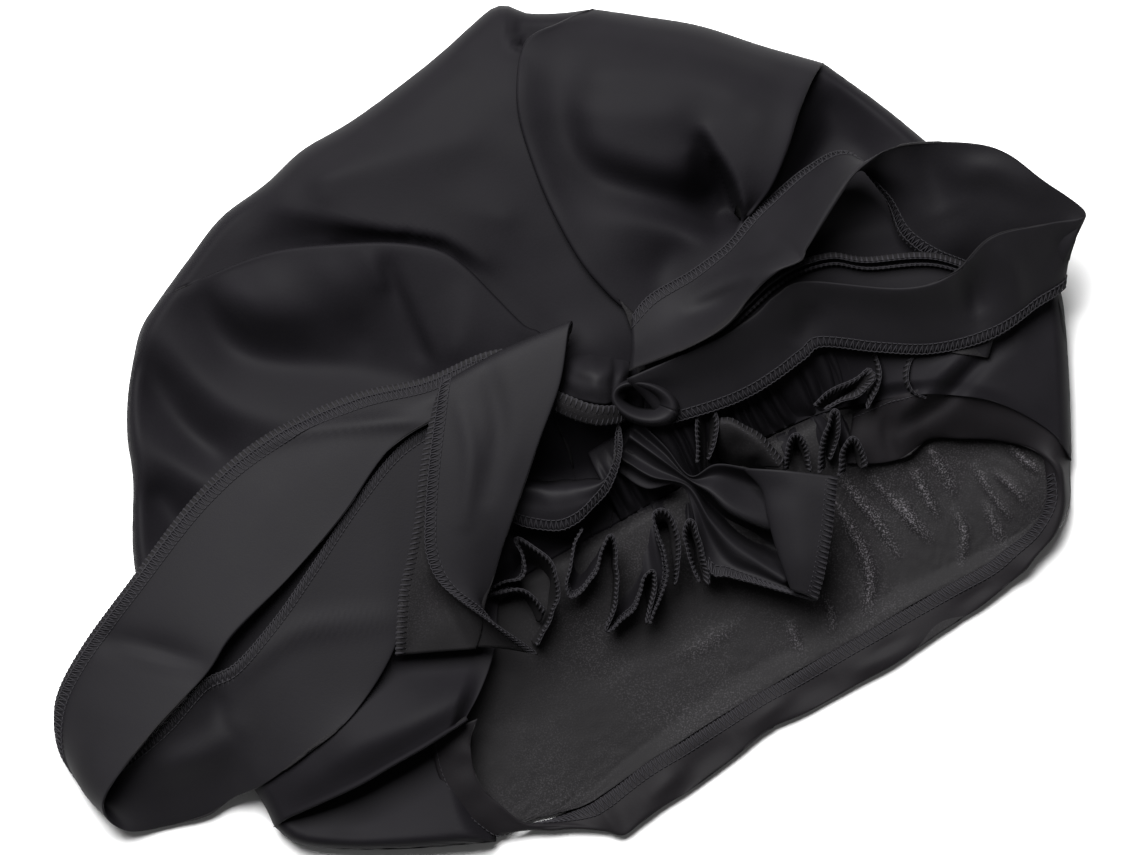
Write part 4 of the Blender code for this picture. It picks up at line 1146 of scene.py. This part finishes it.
# Shares of the points, and of the seam's length up to them: they crowd where the wrinkles are
FLOOR_SPACING = ((0, 0.3, 1), (0, 0.52, 1))
LAP_END = (-148, 47)  # a point of the outline that the floor leaves out
FLOOR_SWELL = 7.0  # rise of the floor in front of the nape
SWELL_START = (-4.0, 8.0)  # way from the nape to its start and its end, each with its reach
SWELL_END = (6.0, 42.0)
SEAM_RISE = 2.0  # of the floor at the band's seam
SEAM_RISE_REACH = 0.04  # share of its width
CORNER_RISE = 6.0  # of the floor into the band's right corner
CORNER = (140.0, -46.0)  # where that starts, and its reach (x, y)
CORNER_REACH = (36.0, 30.0)
FLOOR_GRAIN = 0.05  # height of its fine unevenness
NAPE = (np.array((-26.0, -58.0)), np.array((0.481, -0.877)))  # a point of it, and the way to the front
CREST_GLINT_WIDTH = 0.9  # of a highlight painted along a wrinkle's crest, as a share of the wrinkle's width
CREST_GLINT_STRENGTH = 0.65  # strength of that painted highlight on a wrinkle one millimetre high
HEM_WIDTH = 3.2  # overlock of the knot's hem
# Wrinkles of the floor: (height, width, points along it)
WRINKLES = (
    (1.7, 2, (96, -27), (101, -36), (106, -46), (108, -55), (107, -66)),
    (1.6, 1.8, (97, -17), (103, -25), (110, -33), (118, -46)),
    (1.3, 1.6, (109, -18), (116, -26), (124, -36)),
    (1.6, 1.9, (119, -26), (124, -34), (129, -40)),
    (1.4, 1.8, (124, -16), (128, -24), (132, -31)),
    (1.4, 1.9, (130, -8), (134, -15), (138, -23)),
    (1.2, 1.9, (139, -30), (142, -38), (141, -49)),
    (1.2, 1.9, (150, -28), (153, -35), (156, -42)),
    (1.1, 1.6, (146, -14), (152, -24), (158, -32)),
    (1.4, 1.6, (157, -5), (163, -11), (169, -16)),
    (1.1, 1.5, (154, -17), (160, -22), (164, -27)),
    (1.3, 1.6, (91, -61), (94, -67), (94, -74)),
    (1, 1.9, (79, -71), (81, -76), (83, -81)),
    (0.5, 2.5, (40, -82), (52, -76), (60, -70)),
    (-1.2, 3.0, (100, -50), (104, -58), (102, -70)),
    (-1.2, 3.0, (112, -40), (116, -50), (114, -62)),
)
# Knot: lines of its wrap from the left side over to the right side
KNOT = (
    ((-5, 14, 26), (-4.5, 19, 27), (-3, 24, 26), (0, 28.5, 19)),
    ((-2.5, 12, 31.5), (-1.5, 18, 33), (0.5, 24, 31), (4, 29, 20)),
    ((2.5, 10, 35), (3, 16.5, 37.5), (5, 22.5, 35.5), (8, 29, 20)),
    ((6.5, 9, 37), (8, 15.5, 40.5), (9.5, 21.5, 37.5), (11.5, 28.5, 20)),
    ((10.5, 8.3, 37), (12, 14.5, 39.5), (13, 21, 37), (14.5, 28, 20)),
    ((13.5, 8.5, 35.5), (14.6, 14, 36), (15.6, 20.5, 34), (16.5, 27.5, 20)),
    ((16.5, 9.5, 33), (17.8, 14.5, 34.5), (18.6, 20, 33), (19, 27, 20)),
    ((19, 10, 27), (20.5, 15, 28), (21, 21, 27), (21, 27, 20)),
)
# The overlocked end of the wrap under it: lines from its upper to its lower side
KNOT_HEM = (
    ((-6.5, 14, 28), (-4.5, 13, 34), (0, 11, 37), (6, 8.6, 38), (12, 7.6, 37.5), (17, 8, 34), (19, 9, 28)),
    ((-8, 11, 27), (-6, 9.5, 33), (-1, 7.4, 35.5), (5, 5.2, 36.5), (11, 4.4, 36), (17, 5, 33), (19.5, 6, 28)),
    ((-8.5, 8.5, 24), (-6.5, 6.5, 30), (-2, 4.2, 32.5), (4, 2.0, 33.5), (10, 1.0, 33.5), (16.5, 1.6, 31),
     (20, 3, 26)),
)


def band_points():
    """Outer seam, outer face, rim, inner face and inner seam of the doubled band."""
    along_it, across = BAND_STEPS
    outer, rim, inner = matched([[row[k] for row in BAND] for k in range(3)], along_it)
    out = unit(np.cross(rim - (outer + inner) / 2, unit(np.gradient(rim, axis=0))))
    faces = []
    for seam, side in ((outer, -1), (inner, 1)):
        bulge = out * side * BAND_BULGE
        middle = (seam + rim) / 2 + bulge
        faces.append([seam, middle, rim + (middle - rim) * RIM_START + bulge * RIM_BULGE])
    points = patch([*faces[0], rim, *faces[1][::-1]], across)
    points = quilted(creased(points, BAND_PUCKERS + NAPE_FOLDS), seed=3, rounds=60, height=0.5)
    points[..., 2] = np.maximum(points[..., 2], BAND_WALL + BAND_LEAST)
    return points


def bag_floor():
    """The lower layer of the bag from the band to the outline, and where highlights are painted on its
    wrinkles' crests.
    """
    even = np.interp(np.linspace(0, 1, FLOOR_POINTS), *FLOOR_SPACING)
    outline = [point for _, _, _, _, edge in PANELS for point in edge[:-1]] + [PANELS[-1][4][-1]]
    outline = along([point for point in outline if point != LAP_END], even)
    seam = along(FLOOR_SEAM, even)
    outline += unit(seam - outline) * FLOOR_REACH
    share = (np.linspace(0, 1, FLOOR_ROWS) ** FLOOR_CROWDING)[:, None, None]
    flat = seam + (outline - seam) * share
    below_nape = (flat - NAPE[0]) @ NAPE[1]
    corner = [rise(flat[..., k], CORNER[k], CORNER_REACH[k]) for k in (0, 1)]
    height = (FLOOR_HEIGHT + corner[0] * corner[1] * CORNER_RISE
              + FLOOR_SWELL * rise(below_nape, *SWELL_START) * (1 - rise(below_nape, *SWELL_END))
              + SEAM_RISE * (1 - smooth(share[..., 0] / SEAM_RISE_REACH)))
    points = creased(np.dstack([flat, height])[::-1], WRINKLES)
    # Painted highlights along the crests of the raised wrinkles, kept as a mesh attribute for the colour
    streaks = sum(height * beside(points, width * CREST_GLINT_WIDTH, route)
                  for height, width, *route in WRINKLES if height > 0) * CREST_GLINT_STRENGTH
    points[..., 2] += waves(5, points.shape[:2], 2) * FLOOR_GRAIN
    points[..., 2] = np.maximum(points[..., 2], FLOOR_HEIGHT * FLOOR_LEAST)
    return points, np.clip(streaks, 0, 1)


# ---------------------------------------------------------------------------------------------
# Finishes
# ---------------------------------------------------------------------------------------------
class Socket:
    """A value in a material's node tree that can be used in expressions."""

    def __init__(self, tree, output):
        self.tree = tree
        self.output = output

    def node(self, kind, settings=None, **inputs):
        """A node of any kind: its settings first, then values or links for its sockets."""
        made = self.tree.nodes.new(kind)
        for key, value in (settings or {}).items():
            setattr(made, key, value)
        for key, value in inputs.items():
            socket = made.inputs[int(key[1:]) if key[1:].isdigit() else key.replace("_", " ")]
            if isinstance(value, Socket):
                self.tree.links.new(value.output, socket)
            else:
                socket.default_value = value
        return made

    def maths(self, operation, *values):
        """A Math node on values and sockets."""
        made = self.node("ShaderNodeMath", {"operation": operation},
                         **{f"i{k}": value for k, value in enumerate(values)})
        return Socket(self.tree, made.outputs[0])

    def __add__(self, other):
        return self.maths("ADD", self, other)

    __radd__ = __add__

    def __mul__(self, other):
        return self.maths("MULTIPLY", self, other)

    __rmul__ = __mul__

    def clamped(self, low, high):
        """0 at or below the low value, 1 at or above the high one."""
        made = self.node("ShaderNodeMapRange", None, i0=self, i1=low, i2=high)
        return Socket(self.tree, made.outputs[0])


class Finish:
    """A material whose pattern follows Object coordinates."""

    def __init__(self, name, roughness, specular):
        self.material = bpy.data.materials.new(name)
        self.material.use_nodes = True
        self.tree = self.material.node_tree
        self.shader = self.tree.nodes["Principled BSDF"]
        self.shader.inputs["Specular IOR Level"].default_value = specular
        self.shader.inputs["Roughness"].default_value = roughness
        self.place = Socket(self.tree, self.tree.nodes.new("ShaderNodeTexCoord").outputs["Object"])

    def noise(self, scale, detail):
        made = self.place.node("ShaderNodeTexNoise", Vector=self.place, Scale=scale, Detail=detail)
        return Socket(self.tree, made.outputs["Fac"])

    def attribute(self, name):
        made = self.tree.nodes.new("ShaderNodeAttribute")
        made.attribute_name = name
        return Socket(self.tree, made.outputs["Fac"])

    def colour(self, dark, light, factor):
        """Base colour, from a dark one where the factor is 0 to a light one where it is 1."""
        made = factor.node("ShaderNodeMix", {"data_type": "RGBA"}, i0=factor)
        made.inputs[6].default_value = (*dark, 1)
        made.inputs[7].default_value = (*light, 1)
        self.tree.links.new(made.outputs[2], self.shader.inputs["Base Color"])

    def roughness(self, value):
        self.tree.links.new(value.output, self.shader.inputs["Roughness"])

    def bump(self, height, depth):
        made = height.node("ShaderNodeBump", None, Height=height, Distance=depth)
        self.tree.links.new(made.outputs[0], self.shader.inputs["Normal"])


SHINE = 12.0  # how much lighter than the cloth its painted glints are: highlights painted into the base colour
SHADE = 0.8  # how much darker it is between them
PAINTED_CREST_GLINTS = "streaks"  # the mesh attribute that says where highlights are painted on wrinkle crests
# Patterns of the satin: scale and detail of each noise
CLOUDS = (60, 3.0)
GRAIN = (1500, 1.0)
SLUBS = (420, 2.0)
# The two glint noises place the highlights painted into the reverse's colour
GLINTS = (1800, 2.0)
GLINT_PATCHES = (25, 2.0)
GLINT_LIMITS = (0.50, 0.70)
PATCH_LIMITS = (0.35, 0.75)
TONE = (0.05, 0.03)  # shares of the clouds and of the grain in the colour
UNEVEN_SHEEN = (0.12, 0.06)  # shares of both in the roughness
SLUB_DEPTH = 0.8  # depth of the slubs, as a share of the grain's
# Columns: material, colour, roughness, specular level, depth of the grain (mm), share of painted glints, mesh
# attribute of the highlights painted on wrinkle crests
FINISHES = {
    "satin": ("satin", "satin", 0.66, 0.12, 0.025),
    "crown": ("crown_satin", "satin", 0.64, 0.061, 0.025),
    # Both reverse finishes have glints painted into their colour; the second also has them on the wrinkle
    # crests that its mesh marks
    "reverse": ("satin_reverse", "reverse", 0.72, 0.1, 0.05, 0.12),
    "streaked": ("streaked_reverse", "reverse", 0.68, 0.1, 0.05, 0.32, PAINTED_CREST_GLINTS),
    "band": ("band_satin", "band", 0.66, 0.095, 0.03),
    "frill": ("frill_satin", "satin", 0.62, 0.1, 0.03),
    "thread": ("overlock_thread", "thread", 0.8, 0.2, 0.02),
}


def woven(name, colour, roughness, specular, grain, painted_glints=0.0, streaks=None):
    """Satin: a soft sheen that varies a little, a fine grain, and on its reverse painted glints, highlights
    painted into its base colour.
    """
    made = Finish(name, roughness, specular)
    clouds = made.noise(*CLOUDS)
    fine = made.noise(*GRAIN)
    bright = clouds * TONE[0] + fine * TONE[1]
    # Painted highlights: glints that lighten the base colour in patches
    if painted_glints:
        glint = made.noise(*GLINTS).clamped(*GLINT_LIMITS)
        amount = made.noise(*GLINT_PATCHES).clamped(*PATCH_LIMITS) * painted_glints
        # The floor's painted highlights on wrinkle crests join the painted glints
        if streaks:
            amount = amount + made.attribute(streaks)
        bright = bright + glint * amount
    made.colour([c * SHADE for c in colour], [c * SHINE for c in colour], bright)
    mean = roughness - sum(UNEVEN_SHEEN) / 2
    made.roughness(clouds * UNEVEN_SHEEN[0] + fine * UNEVEN_SHEEN[1] + mean)
    made.bump(fine + made.noise(*SLUBS) * SLUB_DEPTH, grain * MM)
    return made.material


@functools.cache
def finishes():
    """All the finishes, by the name of their cloth or thread."""
    colours = bpy.context.scene.bonnet_colours
    return {key: woven(name, getattr(colours, colour), *look)
            for key, (name, colour, *look) in FINISHES.items()}


# ---------------------------------------------------------------------------------------------
# Settings, operators and panel
# ---------------------------------------------------------------------------------------------
PHOTO_SCALE = 0.36  # millimetres to a pixel of the 1140 x 855 picture
PHOTO_WIDTH = 1140
PHOTO_CENTRE = (-0.36, 0.0, 0.0)  # drawn place of the picture's middle
CAMERA_HEIGHT = 6.0  # this and the sizes below are in metres
SCALE_HEIGHT = 0.02  # height at which the scale holds
SENSOR = 36.0  # millimetres
CLIP_END = 20.0
SOFTBOX_PLACE = (-0.42, 1.02, 1.75)
SOFTBOX_SIZE = 1.3
SOFTBOX_POWER = 138
AMBIENT = 0.1
TABLE_COLOUR = (0.92, 0.92, 0.92, 1)


def cloth_colour(name, description, default):
    return FloatVectorProperty(name=name, description=description, subtype="COLOR", min=0, max=1,
                               default=default)


class BonnetColours(bpy.types.PropertyGroup):
    """Colours of the cloth and the thread."""

    satin: cloth_colour("Satin", "Outer face of the satin", (0.0046, 0.0042, 0.0052))
    reverse: cloth_colour("Reverse", "Duller inner face of the satin", (0.0062, 0.0058, 0.0063))
    band: cloth_colour("Band", "Doubled satin of the front band", (0.0052, 0.0046, 0.0054))
    thread: cloth_colour("Thread", "Overlock thread", (0.0105, 0.0098, 0.0118))


class BonnetSizes(bpy.types.PropertyGroup):
    """Sizes of the cloth and of what it lies on."""

    crown_wall: FloatProperty(name="Crown cloth", description="Thickness of the crown's satin",
                              unit="LENGTH", default=0.35 * MM, min=0.1 * MM, max=2 * MM)
    floor_size: FloatProperty(name="Floor", description="Half the width of the pale floor",
                              unit="LENGTH", default=4.0, min=0.5, max=20)


class Maker:
    """What the operators that make pieces share."""

    bl_options = {"REGISTER", "UNDO"}

    def execute(self, context):
        self.make(context)
        return {"FINISHED"}


@functools.cache
def relief():
    """The crown's relief, worked out once."""
    return Relief()


class BONNET_OT_crown(Maker, bpy.types.Operator):
    """Make the gathered bag of the crown with its laps, folds and dents"""

    bl_idname = "bonnet.crown"
    bl_label = "Crown"

    def make(self, context):
        wall = context.scene.bonnet_sizes.crown_wall / MM
        bag = creased(crown_grid(relief()), NAPE_FOLDS)
        crown = dressed(cloth("crown_satin", [bag], wall, "crown"), "satin", "crown")
        points, streaks = bag_floor()
        floor = dressed(cloth("crown_floor", [points], wall, "satin", "streaked"), "satin")
        # Where the floor's colour gets highlights painted on its wrinkle crests
        painted_glint_layer = floor.data.attributes.new(PAINTED_CREST_GLINTS, "FLOAT", "POINT")
        painted_glint_layer.data.foreach_set("value", streaks.reshape(-1))


class BONNET_OT_band(Maker, bpy.types.Operator):
    """Make the doubled band round the front edge, with its seams"""

    bl_idname = "bonnet.band"
    bl_label = "Front band"

    def make(self, context):
        points = band_points()
        band = dressed(cloth("band_cloth", [points], BAND_WALL, "band"), "band_satin", "front_band")
        inner, outer = Edge(points[::-1, ::-1], INNER_SEAM_WIDTH), Edge(points, TOP_STITCH_WIDTH)
        seams = stitching("band_overlock", [inner.stitched(LOOPER, *INNER_SEAM)], LOOPER_THREAD)
        rows = [outer.stitched(TOP_STITCH, *part) for part in TOP_STITCHED]
        rows.append(inner.stitched(NEEDLE, *INNER_SEAM))
        stitches = stitching("band_stitches", rows, NEEDLE_THREAD)


class BONNET_OT_ruffle(Maker, bpy.types.Operator):
    """Make the gathered nape ruffle with its overlocked edge"""

    bl_idname = "bonnet.ruffle"
    bl_label = "Nape ruffle"

    def make(self, context):
        grids = [flounce(lines) for lines in FLOUNCES.values()]
        frill = cloth("ruffle_cloth", [*grids, shirring()], FRILL_WALL, "frill")
        ruffle = dressed(frill, "frill_satin", "nape_ruffle")
        stitches = overlock("ruffle", grids)


class BONNET_OT_ties(Maker, bpy.types.Operator):
    """Make the loops, free ends and strap of the bow, with their overlocked edges"""

    bl_idname = "bonnet.ties"
    bl_label = "Ties"

    def make(self, context):
        ground = Ground("crown_satin")
        strap = ground.carry(folded(STRAP_RIGHT, STRAP_RIGHT_BACK, bow=0.8, gap=1.6, flare=STRAP_FLARE))
        tie("strap_right_cloth", strap, "tie_strap_right", (0.05, 0.16), ground)
        self.make_right_end()
        left = creased(folded(LOOP_LEFT, bow=1.6, gap=1.8, stagger=2.6), LOOP_LEFT_CREASES)
        left = quilted(ground.carry(left), seed=12, rounds=80, height=0.25)
        tie("loop_left_cloth", left, "bow_loop_left", (0.09, 0.38), ground)
        page = creased(folded(TIE_LEFT, TIE_LEFT_BACK, bow=1.6, gap=2.2), TIE_LEFT_CREASES)
        page = quilted(ground.carry(page), seed=13, rounds=60, height=0.2)
        tie("end_left_cloth", page, "tie_end_left", (0.09, 0.11), ground)
        right = creased(folded(LOOP_RIGHT, bow=3.0, gap=1.8, stagger=1.5), LOOP_RIGHT_CREASES)
        right = quilted(right, seed=14, rounds=70, height=0.3)
        tie("loop_right_cloth", right, "bow_loop_right", (0.09, 0.36), ground, curl())

    def make_right_end(self):
        """The fan below the knot and the page that is folded over it."""
        fan, page = (patch(matched(lines, steps[0])[:, ::-1], steps[1])
                     for lines, steps in ((TIE_RIGHT_FAN, FAN_STEPS), (TIE_RIGHT_PAGE, PAGE_STEPS)))
        fan = quilted(fan, seed=11, rounds=30, height=0.15)
        page = quilted(page, seed=15, rounds=30, height=0.15)
        end = dressed(cloth("end_right_cloth", [fan, page], TIE_WALL, "satin"), "satin", "tie_end_right")
        stitches = overlock("end_right", [fan[::-1, ::-1][:, FAN_HIDDEN:], page.transpose(1, 0, 2)])


class BONNET_OT_knot(Maker, bpy.types.Operator):
    """Make the wrap in the middle of the bow, with its overlocked hem"""

    bl_idname = "bonnet.knot"
    bl_label = "Knot"

    def make(self, context):
        wrap, hem = (patch(matched(lines, steps[0]), steps[1])
                     for lines, steps in ((KNOT[::-1], WRAP_STEPS), (KNOT_HEM, HEM_STEPS)))
        wrap = quilted(wrap, seed=21, rounds=8, height=0.15)
        knot = dressed(cloth("knot_cloth", [wrap, hem], TIE_WALL, "satin"), "satin", "bow_knot")
        stitches = overlock("knot", [hem, hem[::-1, ::-1]], HEM_WIDTH)


class BONNET_OT_stage(Maker, bpy.types.Operator):
    """Make the pale floor, the soft studio light and the camera"""

    bl_idname = "bonnet.stage"
    bl_label = "Stage"

    def make(self, context):
        scene = context.scene
        bm = bmesh.new()
        bmesh.ops.create_grid(bm, x_segments=1, y_segments=1, size=scene.bonnet_sizes.floor_size)
        finish = Finish("floor_finish", roughness=0.9, specular=0.2)
        finish.shader.inputs["Base Color"].default_value = TABLE_COLOUR
        floor = bpy.data.objects.new("floor", made_mesh("floor", bm, finish.material))
        scene.collection.objects.link(floor)
        world = bpy.data.worlds.new("tent")
        world.use_nodes = True
        backdrop = world.node_tree.nodes["Background"]
        backdrop.inputs["Color"].default_value = (1, 1, 1, 1)
        backdrop.inputs["Strength"].default_value = AMBIENT
        scene.world = world
        light = bpy.data.lights.new("softbox", "AREA")
        light.size = SOFTBOX_SIZE
        light.energy = SOFTBOX_POWER
        lamp = bpy.data.objects.new("softbox", light)
        lamp.location = SOFTBOX_PLACE
        lamp.rotation_euler = Vector(SOFTBOX_PLACE).to_track_quat("Z", "Y").to_euler()
        lamp.visible_camera = False
        scene.collection.objects.link(lamp)
        lens = bpy.data.cameras.new("camera")
        lens.sensor_width = SENSOR
        lens.lens = SENSOR * (CAMERA_HEIGHT - SCALE_HEIGHT) / (PHOTO_WIDTH * PHOTO_SCALE * MM)
        lens.clip_end = CLIP_END
        camera = bpy.data.objects.new("camera", lens)
        camera.location = (*placed(PHOTO_CENTRE)[:2], CAMERA_HEIGHT)
        scene.collection.objects.link(camera)
        scene.camera = camera
        scene.view_settings.view_transform = "Standard"


class BONNET_PT_panel(bpy.types.Panel):
    """The bonnet's settings and the operators that make its pieces"""

    bl_idname = "BONNET_PT_panel"
    bl_label = "Sleep Bonnet"
    bl_space_type = "VIEW_3D"
    bl_region_type = "UI"
    bl_category = "Bonnet"

    def draw(self, context):
        for group in (context.scene.bonnet_sizes, context.scene.bonnet_colours):
            for name in group.__annotations__:
                self.layout.prop(group, name)
        for maker in MAKERS:
            self.layout.operator(maker.bl_idname)


MAKERS = (BONNET_OT_crown, BONNET_OT_band, BONNET_OT_ties, BONNET_OT_ruffle, BONNET_OT_knot, BONNET_OT_stage)
CLASSES = (BonnetColours, BonnetSizes, *MAKERS, BONNET_PT_panel)


def register():
    for kind in CLASSES:
        bpy.utils.register_class(kind)
    bpy.types.Scene.bonnet_colours = PointerProperty(type=BonnetColours)
    bpy.types.Scene.bonnet_sizes = PointerProperty(type=BonnetSizes)


def unregister():
    del bpy.types.Scene.bonnet_sizes
    del bpy.types.Scene.bonnet_colours
    for kind in reversed(CLASSES):
        bpy.utils.unregister_class(kind)


def main():
    register()
    for make in (bpy.ops.bonnet.crown, bpy.ops.bonnet.band, bpy.ops.bonnet.ties, bpy.ops.bonnet.ruffle,
                 bpy.ops.bonnet.knot, bpy.ops.bonnet.stage):
        make()


if __name__ == "__main__":
    main()
